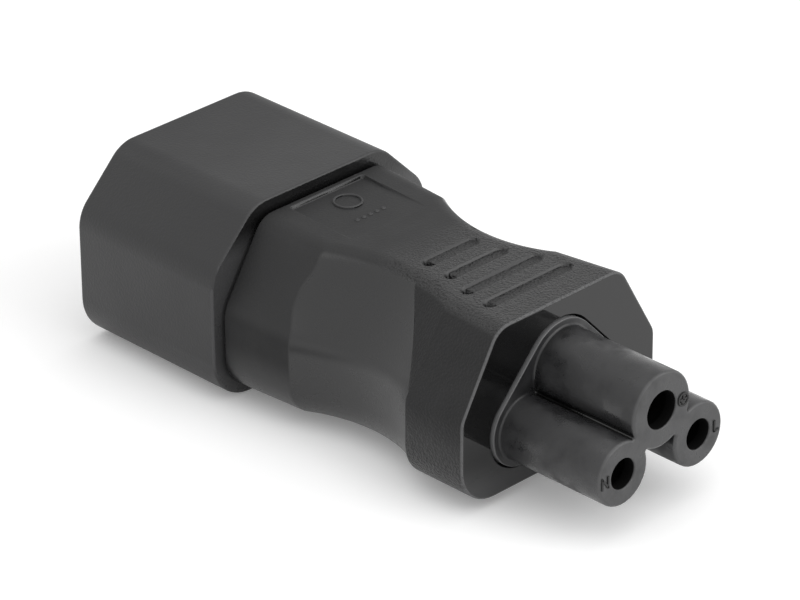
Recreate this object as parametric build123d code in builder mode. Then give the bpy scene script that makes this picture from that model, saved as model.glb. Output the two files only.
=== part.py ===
from build123d import *
import os
from dataclasses import dataclass
from math import sqrt

# Straight mains adapter: male C14 shroud at the +Y end, female C5 nose at the -Y end.
# Millimetres, +Z up, +Y along the adapter towards the shroud's mouth.
# The origin is under the middle of the adapter's length, at the height of the shroud's base.

# Lengths along the adapter
shroud_length = 18.9
grip_length = 31.3
nose_length = 12.65

rim_y = (grip_length + nose_length - shroud_length) / 2
mouth_y = rim_y + shroud_length
front_y = rim_y - grip_length
tip_y = front_y - nose_length

# Shroud
shroud_width = 28.0
shroud_height = 19.4
shroud_bevel = 5.7
shroud_wall = 1.6
shroud_floor = 2.1
shroud_base_radius = 4.6
shroud_bevel_radius = 3.8
shroud_edge_radius = 0.45

# Boss behind the shroud's floor, moulded with it, which carries the pins inside the grip
boss_width = 20.4
boss_flat = 11.0
boss_height = 12.6
boss_slope = 6.0
boss_length = 5.0
boss_corner = 1.5
boss_base_z = 3.3

# Blade pins
blade_width = 4.0
blade_thickness = 2.0
blade_bevel = 0.6
blade_slot_clearance = 0.05
mains_blade_reach = 14.8
earth_blade_reach = 15.9
blade_spacing = 14.0
earth_blade_offset = 4.0
mains_blade_z = 7.7
collar_margin = 0.5
collar_length = 1.2

# Crimp barrels on pins and contacts
crimp_radius = 1.5
crimp_length = 4.0
crimp_neck_length = 0.6
crimp_depth = 3.0

# Retaining plates
plate_thickness = 1.4
plate_clearance = 0.1

# Jumper wires
copper_radius = 0.7
insulation_radius = 1.35
insulation_gap = 0.3
wire_clearance = 0.05
wire_run = 6.3
wire_lead = 1.3
wire_bend_radius = 3.5

# Sockets of the nose
socket_spacing = 9.96
socket_height = 6.88
earth_socket_rise = 4.51
mains_barrel_radius = 3.22
earth_barrel_radius = 3.78
neck_radius = 0.4
mains_hole_radius = 1.52
earth_hole_radius = 1.87
hole_depth = 1.4
mains_bore_radius = 1.2
earth_bore_radius = 1.55
sleeve_wall = 0.6
sleeve_clearance = 0.1
sleeve_setback = 3.65
sleeve_slit_width = 0.5
sleeve_slit_length = 9.0
sleeve_slit_overrun = 0.5
sleeve_collar_margin = 0.5

# Insert that carries the sockets
flange_margin = 0.7
flange_proud = 0.3
flange_depth = 1.5
insert_clearance = 0.1
tip_edge_radius = 0.3

# Grip: sections at the rim, at both ends of the finger scoops and at the front face
grip_base_z = 0.86
grip_slope = 8.1
grip_rim_width = 25.9
grip_scoop_width = 24.7
grip_front_width = 25.4
grip_rim_flat = 15.8
grip_scoop_rear_flat = 15.4
grip_scoop_front_flat = 14.2
grip_front_flat = 16.2
grip_rim_top = 18.15
grip_scoop_top = 17.8
grip_front_top = 18.0
grip_base_radius = 4.2
grip_rim_bevel_radius = 4.0
grip_front_bevel_radius = 2.0
grip_top_radius = 2.4
grip_edge_radius = 0.35
seam_width = 0.3
seam_depth = 0.45

# Finger scoops, one arc on each side
scoop_start = 8.5
scoop_end = 24.0
scoop_depth = 1.95
scoop_dip = 0.12
scoop_shoulder = 0.35
scoop_stations = 9

# Panel and slots on top
panel_width = 9.7
panel_start = 0.9
panel_length = 8.6
panel_depth = 0.4
slot_count = 4
slot_first = 17.35
slot_pitch = 3.28
slot_width = 1.45
slot_depth = 0.45
slot_margin = 1.9

# Distance within which two points count as one
same_point = 0.001


@dataclass(frozen=True)
class Pole:
    """One conductor path through the adapter, from its blade to its socket."""

    name: str
    blade_x: float
    blade_z: float
    blade_reach: float
    socket_x: float
    socket_z: float
    barrel_radius: float
    hole_radius: float
    bore_radius: float

    @property
    def sleeve_radius(self):
        return self.bore_radius + sleeve_wall

    @property
    def sleeve_collar_radius(self):
        return self.sleeve_radius + sleeve_collar_margin


line_pole = Pole(
    "line", blade_spacing / 2, mains_blade_z, mains_blade_reach,
    socket_spacing / 2, socket_height, mains_barrel_radius, mains_hole_radius, mains_bore_radius,
)
neutral_pole = Pole(
    "neutral", -blade_spacing / 2, mains_blade_z, mains_blade_reach,
    -socket_spacing / 2, socket_height, mains_barrel_radius, mains_hole_radius, mains_bore_radius,
)
earth_pole = Pole(
    "earth", 0, mains_blade_z + earth_blade_offset, earth_blade_reach,
    0, socket_height + earth_socket_rise, earth_barrel_radius, earth_hole_radius, earth_bore_radius,
)
poles = [line_pole, neutral_pole, earth_pole]

# Planes across the adapter, from the mouth to the tip
floor_y = rim_y + shroud_floor
boss_y = rim_y - boss_length
pin_plate_y = boss_y - plate_thickness
pin_crimp_y = pin_plate_y - crimp_neck_length
pin_crimp_end_y = pin_crimp_y - crimp_length
contact_crimp_end_y = pin_crimp_end_y - wire_run
contact_plate_y = contact_crimp_end_y - crimp_length - crimp_neck_length
insert_y = contact_plate_y - plate_thickness
insert_depth = insert_y - front_y
hole_end_y = tip_y + hole_depth
sleeve_front_y = hole_end_y + sleeve_setback
sleeve_length = insert_y - sleeve_front_y


def across(y):
    """Plane across the adapter that faces the nose; its x and y run along X and Z."""
    return Plane.XZ.offset(-y)


def six_sided(y, width, flat, base, height, slope, base_radius, bevel_radius, top_radius):
    """Section with a flat base, upright sides, sloping shoulders and a flat top."""
    side = width / 2
    edge = flat / 2
    top = base + height
    shoulder = top - slope
    corners = [
        (-side, base), (side, base), (side, shoulder),
        (edge, top), (-edge, top), (-side, shoulder),
    ]
    radii = [base_radius, base_radius, bevel_radius, top_radius, top_radius, bevel_radius]
    with BuildSketch(across(y)) as section:
        with BuildLine():
            FilletPolyline(*corners, radius=radii, close=True)
        make_face()
    return section.sketch


def shroud_section(y, inset=0.0):
    """Outline of the shroud, or of its pin chamber when it is inset by the wall."""
    bevel = shroud_bevel - inset * (2 - sqrt(2))
    return six_sided(
        y, shroud_width - 2 * inset, shroud_width - 2 * inset - 2 * bevel, inset,
        shroud_height - 2 * inset, bevel,
        shroud_base_radius - inset, shroud_bevel_radius - inset, shroud_bevel_radius - inset,
    )


def boss_section(y, clearance=0.0):
    """Outline of the boss and of the plate behind it."""
    return six_sided(
        y, boss_width + 2 * clearance, boss_flat + 2 * clearance, boss_base_z - clearance,
        boss_height + 2 * clearance, boss_slope, boss_corner, boss_corner, boss_corner,
    )


def between(start, end, share):
    """Value that lies the given share of the way from start to end."""
    return start + (end - start) * share


def scoop_inset(distance):
    """Depth of the scoop's arc at a distance ahead of the rim."""
    half_chord = (scoop_end - scoop_start) / 2
    arc_radius = (half_chord**2 + scoop_depth**2) / (2 * scoop_depth)
    from_middle = distance - (scoop_start + scoop_end) / 2
    return sqrt(arc_radius**2 - from_middle**2) - arc_radius + scoop_depth


def grip_top(distance):
    """Height of the grip's top, which dips a little towards the scoops."""
    if distance < scoop_start:
        return between(grip_rim_top, grip_scoop_top, distance / scoop_start)
    if distance > scoop_end:
        return between(
            grip_scoop_top, grip_front_top, (distance - scoop_end) / (grip_length - scoop_end)
        )
    return grip_scoop_top - scoop_dip * scoop_inset(distance) / scoop_depth


def grip_flat(distance):
    """Width of the grip's flat top."""
    if distance < scoop_start:
        return between(grip_rim_flat, grip_scoop_rear_flat, distance / scoop_start)
    if distance > scoop_end:
        share = (distance - scoop_end) / (grip_length - scoop_end)
        return between(grip_scoop_front_flat, grip_front_flat, share)
    share = (distance - scoop_start) / (scoop_end - scoop_start)
    straight = between(grip_scoop_rear_flat, grip_scoop_front_flat, share)
    return straight - 2 * scoop_inset(distance)


def grip_section(distance, width, inset=0.0):
    """Section of the grip at a distance ahead of the rim."""
    share = min(distance / scoop_end, 1)
    bevel_radius = between(grip_rim_bevel_radius, grip_front_bevel_radius, share)
    return six_sided(
        rim_y - distance, width - 2 * inset, grip_flat(distance) - 2 * inset, grip_base_z + inset,
        grip_top(distance) - grip_base_z - 2 * inset, grip_slope - inset,
        grip_base_radius - inset, bevel_radius, grip_top_radius,
    )


def socket_outline(y, margin):
    """Taut outline around the three barrels."""
    with BuildSketch(across(y)) as outline:
        for pole in poles:
            with Locations((pole.socket_x, pole.socket_z)):
                Circle(pole.barrel_radius + margin)
        make_hull(outline.edges())
    return outline.sketch


def nose_outline(y):
    """The three barrels, joined by small fillets where they meet."""
    with BuildSketch(across(y)) as outline:
        for pole in poles:
            with Locations((pole.socket_x, pole.socket_z)):
                Circle(pole.barrel_radius)
        necks = outline.vertices().filter_by(
            lambda corner: abs(
                sqrt((corner.X - earth_pole.socket_x) ** 2 + (corner.Y - earth_pole.socket_z) ** 2)
                - earth_pole.barrel_radius
            ) < same_point
            and same_point < abs(corner.X) < earth_pole.barrel_radius - same_point
        )
        fillet(necks, neck_radius)
    return outline.sketch


def wire_path(pole, start_y, end_y):
    """Route of a jumper, straight out of each crimp and bent once each way between them."""
    run = Vector(pole.socket_x - pole.blade_x, 0, pole.socket_z - pole.blade_z)
    side = run.normalized()
    plane = Plane(
        origin=(pole.blade_x, start_y, pole.blade_z), x_dir=(0, -1, 0),
        z_dir=Vector(0, -1, 0).cross(side),
    )
    first_bend = start_y - (pin_crimp_end_y - wire_lead)
    second_bend = start_y - (contact_crimp_end_y + wire_lead)
    with BuildLine(plane) as route:
        FilletPolyline(
            (0, 0), (first_bend, 0), (second_bend, run.length), (start_y - end_y, run.length),
            radius=wire_bend_radius,
        )
    return route.line


def pole_spots(poles_used, at_blades):
    """Sketch positions of the blades or of the sockets."""
    if at_blades:
        return [(pole.blade_x, pole.blade_z) for pole in poles_used]
    return [(pole.socket_x, pole.socket_z) for pole in poles_used]


os.makedirs("parts", exist_ok=True)

# Shroud: chamber open at the mouth, floor with blade slots, boss with collar seats
with BuildPart() as c14_shroud:
    extrude(shroud_section(mouth_y), amount=shroud_length)
    fillet(c14_shroud.edges().group_by(Axis.Y)[-1], shroud_edge_radius)
    fillet(c14_shroud.edges().group_by(Axis.Y)[0], shroud_edge_radius)
    extrude(shroud_section(mouth_y, shroud_wall), amount=mouth_y - floor_y, mode=Mode.SUBTRACT)
    extrude(boss_section(rim_y), amount=boss_length)
    with BuildSketch(across(floor_y)):
        with Locations(*pole_spots(poles, True)):
            Rectangle(
                blade_thickness + 2 * blade_slot_clearance, blade_width + 2 * blade_slot_clearance
            )
    extrude(amount=floor_y - boss_y, mode=Mode.SUBTRACT)
    with BuildSketch(across(boss_y)):
        with Locations(*pole_spots(poles, True)):
            Rectangle(
                blade_thickness + 2 * (collar_margin + blade_slot_clearance),
                blade_width + 2 * (collar_margin + blade_slot_clearance),
            )
    extrude(amount=-collar_length, mode=Mode.SUBTRACT)
c14_shroud.part.label = "c14_shroud"
export_step(c14_shroud.part, "parts/c14_shroud.step")

# Blade pins: bevelled blade, collar seated in the boss, neck and crimp barrel
for pole in poles:
    blade_spot = (pole.blade_x, pole.blade_z)
    with BuildPart() as pin:
        with BuildSketch(across(boss_y)):
            with Locations(blade_spot):
                Rectangle(blade_thickness, blade_width)
        extrude(amount=-(floor_y - boss_y + pole.blade_reach))
        chamfer(pin.faces().sort_by(Axis.Y)[-1].edges(), blade_bevel)
        with BuildSketch(across(boss_y)):
            with Locations(blade_spot):
                Rectangle(blade_thickness + 2 * collar_margin, blade_width + 2 * collar_margin)
        extrude(amount=-collar_length)
        with BuildSketch(across(boss_y)):
            with Locations(blade_spot):
                Circle(crimp_radius)
        extrude(amount=boss_y - pin_crimp_end_y)
        with BuildSketch(across(pin_crimp_end_y)):
            with Locations(blade_spot):
                Circle(copper_radius)
        extrude(amount=-crimp_depth, mode=Mode.SUBTRACT)
    pin.part.label = f"{pole.name}_pin"
    export_step(pin.part, f"parts/{pole.name}_pin.step")

# Plate behind the boss, which keeps the pins' collars in their seats
with BuildPart() as pin_retainer:
    extrude(boss_section(boss_y), amount=plate_thickness)
    with BuildSketch(across(boss_y)):
        with Locations(*pole_spots(poles, True)):
            Circle(crimp_radius + plate_clearance)
    extrude(amount=plate_thickness, mode=Mode.SUBTRACT)
pin_retainer.part.label = "pin_retainer"
export_step(pin_retainer.part, "parts/pin_retainer.step")

# Jumper wires: a copper core seated in both crimps, and its sleeve of insulation between them
for pole in poles:
    core_start_y = pin_crimp_end_y + crimp_depth
    core_end_y = contact_crimp_end_y - crimp_depth
    with BuildPart() as wire:
        with BuildSketch(across(core_start_y)):
            with Locations((pole.blade_x, pole.blade_z)):
                Circle(copper_radius)
        sweep(path=wire_path(pole, core_start_y, core_end_y))
    wire.part.label = f"{pole.name}_wire"
    export_step(wire.part, f"parts/{pole.name}_wire.step")

    sleeve_start_y = pin_crimp_end_y - insulation_gap
    sleeve_end_y = contact_crimp_end_y + insulation_gap
    with BuildPart() as insulation:
        with BuildSketch(across(sleeve_start_y)):
            with Locations((pole.blade_x, pole.blade_z)):
                Circle(insulation_radius)
                Circle(copper_radius + wire_clearance, mode=Mode.SUBTRACT)
        sweep(path=wire_path(pole, sleeve_start_y, sleeve_end_y))
    insulation.part.label = f"{pole.name}_insulation"
    export_step(insulation.part, f"parts/{pole.name}_insulation.step")

# Spring contacts: slit sleeve, collar seated in the insert, neck and crimp barrel
for pole in poles:
    socket_spot = (pole.socket_x, pole.socket_z)
    with BuildPart() as contact:
        with BuildSketch(across(insert_y)):
            with Locations(socket_spot):
                Circle(pole.sleeve_radius)
        extrude(amount=sleeve_length)
        with BuildSketch(across(insert_y)):
            with Locations(socket_spot):
                Circle(pole.sleeve_collar_radius)
        extrude(amount=collar_length)
        with BuildSketch(across(contact_crimp_end_y)):
            with Locations(socket_spot):
                Circle(crimp_radius)
        extrude(amount=contact_crimp_end_y - insert_y)
        with BuildSketch(across(contact_crimp_end_y)):
            with Locations(socket_spot):
                Circle(copper_radius)
        extrude(amount=crimp_depth, mode=Mode.SUBTRACT)
        with BuildSketch(across(insert_y - collar_length)):
            with Locations(socket_spot):
                Circle(pole.bore_radius)
        extrude(amount=sleeve_length - collar_length, mode=Mode.SUBTRACT)
        with BuildSketch(across(sleeve_front_y)):
            with Locations(socket_spot):
                Rectangle(2 * (pole.sleeve_radius + sleeve_slit_overrun), sleeve_slit_width)
        extrude(amount=-sleeve_slit_length, mode=Mode.SUBTRACT)
    contact.part.label = f"{pole.name}_contact"
    export_step(contact.part, f"parts/{pole.name}_contact.step")

# Insert: nose with three barrels, flange proud of the grip, body that runs back into the grip
with BuildPart() as c5_insert:
    extrude(nose_outline(front_y), amount=nose_length)
    fillet(c5_insert.faces().sort_by(Axis.Y)[0].outer_wire().edges(), tip_edge_radius)
    extrude(socket_outline(front_y + flange_depth, flange_margin), amount=flange_depth + flange_proud)
    extrude(socket_outline(insert_y, 0), amount=insert_depth - flange_depth)
    for pole in poles:
        socket_spot = (pole.socket_x, pole.socket_z)
        with BuildSketch(across(insert_y)):
            with Locations(socket_spot):
                Circle(pole.hole_radius)
        extrude(amount=insert_y - tip_y, mode=Mode.SUBTRACT)
        with BuildSketch(across(insert_y)):
            with Locations(socket_spot):
                Circle(pole.sleeve_radius + sleeve_clearance)
        extrude(amount=insert_y - hole_end_y, mode=Mode.SUBTRACT)
        with BuildSketch(across(insert_y)):
            with Locations(socket_spot):
                Circle(pole.sleeve_collar_radius + sleeve_clearance)
        extrude(amount=collar_length, mode=Mode.SUBTRACT)
c5_insert.part.label = "c5_insert"
export_step(c5_insert.part, "parts/c5_insert.step")

# Plate behind the insert, which keeps the contacts' collars in their seats
with BuildPart() as contact_retainer:
    extrude(socket_outline(contact_plate_y, 0), amount=plate_thickness)
    with BuildSketch(across(contact_plate_y)):
        with Locations(*pole_spots(poles, False)):
            Circle(crimp_radius + plate_clearance)
    extrude(amount=plate_thickness, mode=Mode.SUBTRACT)
contact_retainer.part.label = "contact_retainer"
export_step(contact_retainer.part, "parts/contact_retainer.step")

# Grip: moulded around the boss, the wires and the insert
with BuildPart() as grip_body:
    extrude(grip_section(0, grip_rim_width, seam_depth), amount=seam_width)
    loft([grip_section(seam_width, grip_rim_width), grip_section(scoop_start, grip_scoop_width)])
    scoop_sections = []
    for station in range(scoop_stations):
        distance = between(scoop_start, scoop_end, station / (scoop_stations - 1))
        width = grip_scoop_width - 2 * scoop_inset(distance)
        scoop_sections.append(grip_section(distance, width))
    loft(scoop_sections)
    loft([
        grip_section(scoop_end, grip_scoop_width + 2 * scoop_shoulder),
        grip_section(grip_length, grip_front_width),
    ])
    fillet(grip_body.edges().group_by(Axis.Y)[0], grip_edge_radius)

    # Panel whose floor meets the falling top, and slots across the top
    with BuildSketch(Plane.XY.offset(grip_rim_top - panel_depth)):
        with Locations((0, rim_y - panel_start - panel_length / 2)):
            Rectangle(panel_width, panel_length)
    extrude(amount=panel_depth, mode=Mode.SUBTRACT)
    for slot in range(slot_count):
        distance = slot_first + slot * slot_pitch
        slot_length = grip_flat(distance) - 2 * slot_margin
        with BuildSketch(Plane.XY.offset(grip_top(distance) - slot_depth)):
            with Locations((0, rim_y - distance)):
                SlotOverall(slot_length, slot_width)
        extrude(amount=2 * slot_depth, mode=Mode.SUBTRACT)

    # Spaces that the boss, the plates, the crimps, the wires and the insert leave in the moulding
    extrude(
        boss_section(rim_y, plate_clearance),
        amount=rim_y - pin_plate_y + plate_clearance, mode=Mode.SUBTRACT,
    )
    extrude(
        socket_outline(contact_plate_y + plate_clearance, insert_clearance),
        amount=contact_plate_y + plate_clearance - front_y, mode=Mode.SUBTRACT,
    )
    extrude(
        socket_outline(front_y + flange_depth + insert_clearance, flange_margin + insert_clearance),
        amount=flange_depth + insert_clearance, mode=Mode.SUBTRACT,
    )
    for pole in poles:
        with BuildSketch(across(pin_plate_y)):
            with Locations((pole.blade_x, pole.blade_z)):
                Circle(crimp_radius + wire_clearance)
        extrude(amount=pin_plate_y - pin_crimp_end_y + wire_clearance, mode=Mode.SUBTRACT)
        with BuildSketch(across(contact_crimp_end_y + wire_clearance)):
            with Locations((pole.socket_x, pole.socket_z)):
                Circle(crimp_radius + wire_clearance)
        extrude(amount=contact_crimp_end_y + wire_clearance - contact_plate_y, mode=Mode.SUBTRACT)
        with BuildSketch(across(pin_crimp_end_y)):
            with Locations((pole.blade_x, pole.blade_z)):
                Circle(insulation_radius + wire_clearance)
        sweep(path=wire_path(pole, pin_crimp_end_y, contact_crimp_end_y), mode=Mode.SUBTRACT)
grip_body.part.label = "grip_body"
export_step(grip_body.part, "parts/grip_body.step")
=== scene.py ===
import logging
import math
from collections.abc import Callable, Iterable, Sequence
from dataclasses import dataclass, field
from enum import Enum
from functools import cached_property

import bmesh
import bpy
from mathutils import Matrix, Vector
from mathutils.geometry import tessellate_polygon


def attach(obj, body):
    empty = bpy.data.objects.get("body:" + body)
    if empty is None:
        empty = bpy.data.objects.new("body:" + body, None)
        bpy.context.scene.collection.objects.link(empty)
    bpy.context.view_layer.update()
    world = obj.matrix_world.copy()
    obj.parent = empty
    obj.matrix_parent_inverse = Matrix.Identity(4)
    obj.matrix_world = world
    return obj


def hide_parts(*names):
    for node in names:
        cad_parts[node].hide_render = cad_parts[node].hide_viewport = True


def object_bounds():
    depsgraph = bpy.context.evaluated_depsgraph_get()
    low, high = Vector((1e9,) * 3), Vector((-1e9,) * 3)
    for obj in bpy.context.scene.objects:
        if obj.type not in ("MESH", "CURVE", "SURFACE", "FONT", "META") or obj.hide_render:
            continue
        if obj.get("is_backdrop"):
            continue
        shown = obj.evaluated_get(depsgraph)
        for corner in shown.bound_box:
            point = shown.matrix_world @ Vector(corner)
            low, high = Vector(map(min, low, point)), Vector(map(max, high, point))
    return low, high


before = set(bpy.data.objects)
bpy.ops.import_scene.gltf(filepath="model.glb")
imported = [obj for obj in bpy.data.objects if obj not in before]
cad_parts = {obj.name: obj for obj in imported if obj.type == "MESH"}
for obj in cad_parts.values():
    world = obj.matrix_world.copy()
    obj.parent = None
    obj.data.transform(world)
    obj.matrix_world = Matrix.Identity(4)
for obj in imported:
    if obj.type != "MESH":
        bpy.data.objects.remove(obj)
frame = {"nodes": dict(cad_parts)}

Point = tuple[float, float]
Span = tuple[float, float]
Colour = tuple[float, float, float]
Ring = list[int]
Route = list[tuple[Vector, Vector]]
Stroke = tuple[Point, Point]
Inputs = dict[str | int, object]

MM = 0.001
LAND = 0.03
MERGE_DISTANCE = 1e-7
LEAST_EDGE = 1e-8
PANEL_FLOOR = 17.75
NECK_STEPS = 8
BEND_STEPS = 8
LEAST_TURN = 1e-4
AHEAD = Vector((0, -1, 0))
WIRE_LEAD = 1.3
WIRE_BEND = 3.5
FACING_AHEAD: Span = (-0.97, -0.9)
ACROSS: Span = (0.9, 0.97)
POINTED: Span = (0.51, 0.58)
log = logging.getLogger("adapter")


class Slot(Enum):
    """Material slots of the record that the finished pieces stand for; the log names them."""

    SHROUD = "shroud_plastic"
    GRIP = "grip_vinyl"
    INSERT = "insert_plastic"
    COPPER = "copper"


class Socket(Enum):
    """Kinds of socket on node groups and trees."""

    NUMBER = "NodeSocketFloat"
    COUNT = "NodeSocketInt"
    PLACE = "NodeSocketVector"
    SHAPE = "NodeSocketGeometry"


# Drawing in millimetres


def between(start: float, end: float, share: float) -> float:
    """Value that lies the given share of the way from start to end."""
    return start + (end - start) * share


def divided(start: float, end: float, steps: int) -> list[float]:
    """Values from start to end in equal steps, both ends included."""
    return [between(start, end, step / steps) for step in range(steps + 1)]


def soft_step(low: float, high: float, value: float) -> float:
    """Smooth step of a value, from 0 at low to 1 at high."""
    share = min(max((value - low) / (high - low), 0.0), 1.0)
    return share * share * (3 - 2 * share)


def arc(centre: Point, radius: float, start: float, end: float, steps: int) -> list[Point]:
    """Points along an arc, both ends included.

    Args:
        centre: Centre of the arc.
        radius: Radius of the arc.
        start: Angle at which the arc starts.
        end: Angle at which the arc ends.
        steps: Number of runs along the arc.

    Returns:
        The points in order.
    """
    return [
        (centre[0] + radius * math.cos(angle), centre[1] + radius * math.sin(angle))
        for angle in divided(start, end, steps)
    ]


def circle(centre: Point, radius: float, steps: int = 48) -> list[Point]:
    """Points around a circle, counterclockwise, the first one not repeated."""
    return arc(centre, radius, 0, 2 * math.pi, steps)[:-1]


def quarter_round(radius: float, steps: int = 5) -> list[Point]:
    """Distances from two faces that meet square, along a quarter circle from the first one."""
    angles = divided(0.0, math.pi / 2, steps)
    return [(radius * (1 - math.cos(a)), radius * (1 - math.sin(a))) for a in angles]


def round_over(radius: float, steps: int = 5) -> list[Point]:
    """Depth below a face and inset from its side along a rounded edge, after a narrow land."""
    return [(0.0, radius + LAND), *quarter_round(radius, steps)]


def rounded_outline(
    corners: Sequence[Point], radii: Sequence[float], arc_steps: int, edge_steps: Sequence[int]
) -> list[Point]:
    """Closed outline with rounded corners, counterclockwise.

    Args:
        corners: The sharp corners.
        radii: Radius of each corner.
        arc_steps: Runs around each corner.
        edge_steps: Runs along the edge that follows each corner.

    Returns:
        The outline's points, the same number for the same steps.
    """
    arcs = []
    for index, (corner, radius) in enumerate(zip(corners, radii)):
        here = Vector(corner)
        inward = (here - Vector(corners[index - 1])).normalized()
        outward = (Vector(corners[(index + 1) % len(corners)]) - here).normalized()
        turn = math.acos(max(-1.0, min(1.0, inward.dot(outward))))
        start = here - inward * radius * math.tan(turn / 2)
        centre = start + Vector((-inward.y, inward.x)) * radius
        first = math.atan2(start.y - centre.y, start.x - centre.x)
        arcs.append(arc(tuple(centre), radius, first, first + turn, arc_steps))
    outline = []
    for index, corner_arc in enumerate(arcs):
        outline.extend(corner_arc)
        last, following = corner_arc[-1], arcs[(index + 1) % len(arcs)][0]
        steps = edge_steps[index]
        outline.extend(
            (between(last[0], following[0], step / steps), between(last[1], following[1], step / steps))
            for step in range(1, steps)
        )
    return outline


def six_sided(
    width: float, flat: float, base: float, height: float, slope: float,
    radii: tuple[float, float, float], arc_steps: int = 8, edge_steps: tuple[int, ...] = (1,) * 6,
) -> list[Point]:
    """Section with a flat base, upright sides, sloping shoulders and a flat top.

    Args:
        width: Width between the sides.
        flat: Width of the flat top, corner to corner.
        base: Height of the base.
        height: Height from base to top.
        slope: Height of the sloping shoulders.
        radii: Corner radii at the base, at the shoulder and at the top.
        arc_steps: Runs around each corner.
        edge_steps: Runs along the edges, which start with the base.

    Returns:
        The outline's points.
    """
    side, edge, top = width / 2, flat / 2, base + height
    shoulder = top - slope
    corners = [
        (-side, base), (side, base), (side, shoulder),
        (edge, top), (-edge, top), (-side, shoulder),
    ]
    low, middle, high = radii
    return rounded_outline(
        corners, (low, low, middle, high, high, middle), arc_steps, edge_steps
    )


def new_object(name: str, data: bpy.types.ID) -> bpy.types.Object:
    """Make an object from its data and link it to the scene.

    Args:
        name: Name of the object.
        data: Its mesh, curve, lamp or camera.

    Returns:
        The new object.
    """
    made = bpy.data.objects.new(name, data)
    bpy.context.scene.collection.objects.link(made)
    return made


def finished_piece(mesh: bpy.types.Mesh, name: str, crease: float) -> bpy.types.Object:
    """Merge doubles, turn the faces outwards, set the shading and link an object.

    Args:
        mesh: Mesh in metres.
        name: Name of the piece.
        crease: Angle in degrees above which an edge stays crisp.

    Returns:
        The new object.
    """
    work = bmesh.new()
    work.from_mesh(mesh)
    bmesh.ops.remove_doubles(work, verts=work.verts, dist=MERGE_DISTANCE)
    bmesh.ops.dissolve_degenerate(work, edges=work.edges, dist=LEAST_EDGE)
    bmesh.ops.recalc_face_normals(work, faces=work.faces)
    work.to_mesh(mesh)
    work.free()
    mesh.polygons.foreach_set("use_smooth", [True] * len(mesh.polygons))
    mesh.set_sharp_from_angle(angle=math.radians(crease))
    mesh.update()
    return new_object(name, mesh)


@dataclass
class MeshDraft:
    """Points in millimetres and the faces between them."""

    points: list[Vector] = field(default_factory=list)
    faces: list[tuple[int, ...]] = field(default_factory=list)
    inner: set[int] = field(default_factory=set)

    def add(self, points: Iterable[Sequence[float]]) -> Ring:
        """Add points.

        Args:
            points: The points.

        Returns:
            Their numbers, as a ring.
        """
        first = len(self.points)
        self.points.extend(Vector(point) for point in points)
        return list(range(first, len(self.points)))

    def across(self, y: float, outline: Iterable[Point]) -> Ring:
        """Add an outline that lies across the adapter at y."""
        return self.add((x, y, z) for x, z in outline)

    def join(self, one: Ring, two: Ring) -> None:
        """Join two rings by quads.

        Args:
            one: First ring.
            two: Second ring, with as many points.
        """
        for step, here in enumerate(one):
            after = (step + 1) % len(one)
            self.faces.append((here, one[after], two[after], two[step]))

    def loft(self, rings: Sequence[Ring]) -> None:
        """Join each ring to the next."""
        for one, two in zip(rings, rings[1:]):
            self.join(one, two)

    def swept(
        self, profile: Iterable[Point], outline: Callable[[float], list[Point]]
    ) -> list[Ring]:
        """Draw one outline after the other across the adapter and join them.

        Args:
            profile: Pairs of the place along Y and the size that the outline takes there.
            outline: Gives the outline for a size.

        Returns:
            The rings in order.
        """
        rings = [self.across(y, outline(size)) for y, size in profile]
        self.loft(rings)
        return rings

    def cap(self, outer: Ring, holes: Sequence[Ring] = ()) -> None:
        """Fill a ring that lies across the adapter.

        Args:
            outer: The ring.
            holes: Rings inside it that stay open.
        """
        loops = [outer, *holes]
        flat = [[(self.points[i].x, self.points[i].z, 0.0) for i in loop] for loop in loops]
        order = [index for loop in loops for index in loop]
        for triangle in tessellate_polygon(flat):
            self.faces.append(tuple(order[corner] for corner in triangle))

    def piece(self, name: str, crease: float = 32.0) -> bpy.types.Object:
        """Make the drafted mesh an object in metres.

        Args:
            name: Name of the piece.
            crease: Angle in degrees above which an edge stays crisp.

        Returns:
            The new object.
        """
        mesh = bpy.data.meshes.new(name)
        mesh.from_pydata([point * MM for point in self.points], [], self.faces)
        for index in self.inner:
            mesh.polygons[index].material_index = 1
        return finished_piece(mesh, name, crease)


# Node sheets


@dataclass(frozen=True)
class Value:
    """What a socket gives over a surface, with the sums that its sheet can do with it."""

    sheet: "Sheet"
    socket: bpy.types.NodeSocket

    def __add__(self, other: "Number") -> "Value":
        """Sum of both."""
        return self.sheet.math("ADD", self, other)

    def __sub__(self, other: "Number") -> "Value":
        """This value less the other."""
        return self.sheet.math("SUBTRACT", self, other)

    def __rsub__(self, other: float) -> "Value":
        """A number less this value."""
        return self.sheet.math("SUBTRACT", other, self)

    def __mul__(self, other: "Number") -> "Value":
        """Product of both."""
        return self.sheet.math("MULTIPLY", self, other)

    def __abs__(self) -> "Value":
        """This value without its sign."""
        return self.sheet.math("ABSOLUTE", self)

    def most(self, other: "Number") -> "Value":
        """Larger one of both."""
        return self.sheet.math("MAXIMUM", self, other)

    def clamped(self) -> "Value":
        """This value, kept between 0 and 1."""
        return self.sheet.math("ADD", self, 0.0, use_clamp=True)

    def ramp(
        self, low: "Number", high: "Number", start: float = 0.0, end: float = 1.0
    ) -> "Value":
        """Smooth step from start, where this value is low, to end, where it is high."""
        inputs = {"Value": self, "From Min": low, "From Max": high, "To Min": start, "To Max": end}
        return self.sheet.value(
            "Result", "ShaderNodeMapRange", inputs, interpolation_type="SMOOTHSTEP"
        )

    def blend(self, one: "Number", two: "Number") -> "Value":
        """Value between two others, by this one's share."""
        return self.sheet.value(0, "ShaderNodeMix", {0: self, 2: one, 3: two})


Number = Value | float


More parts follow.
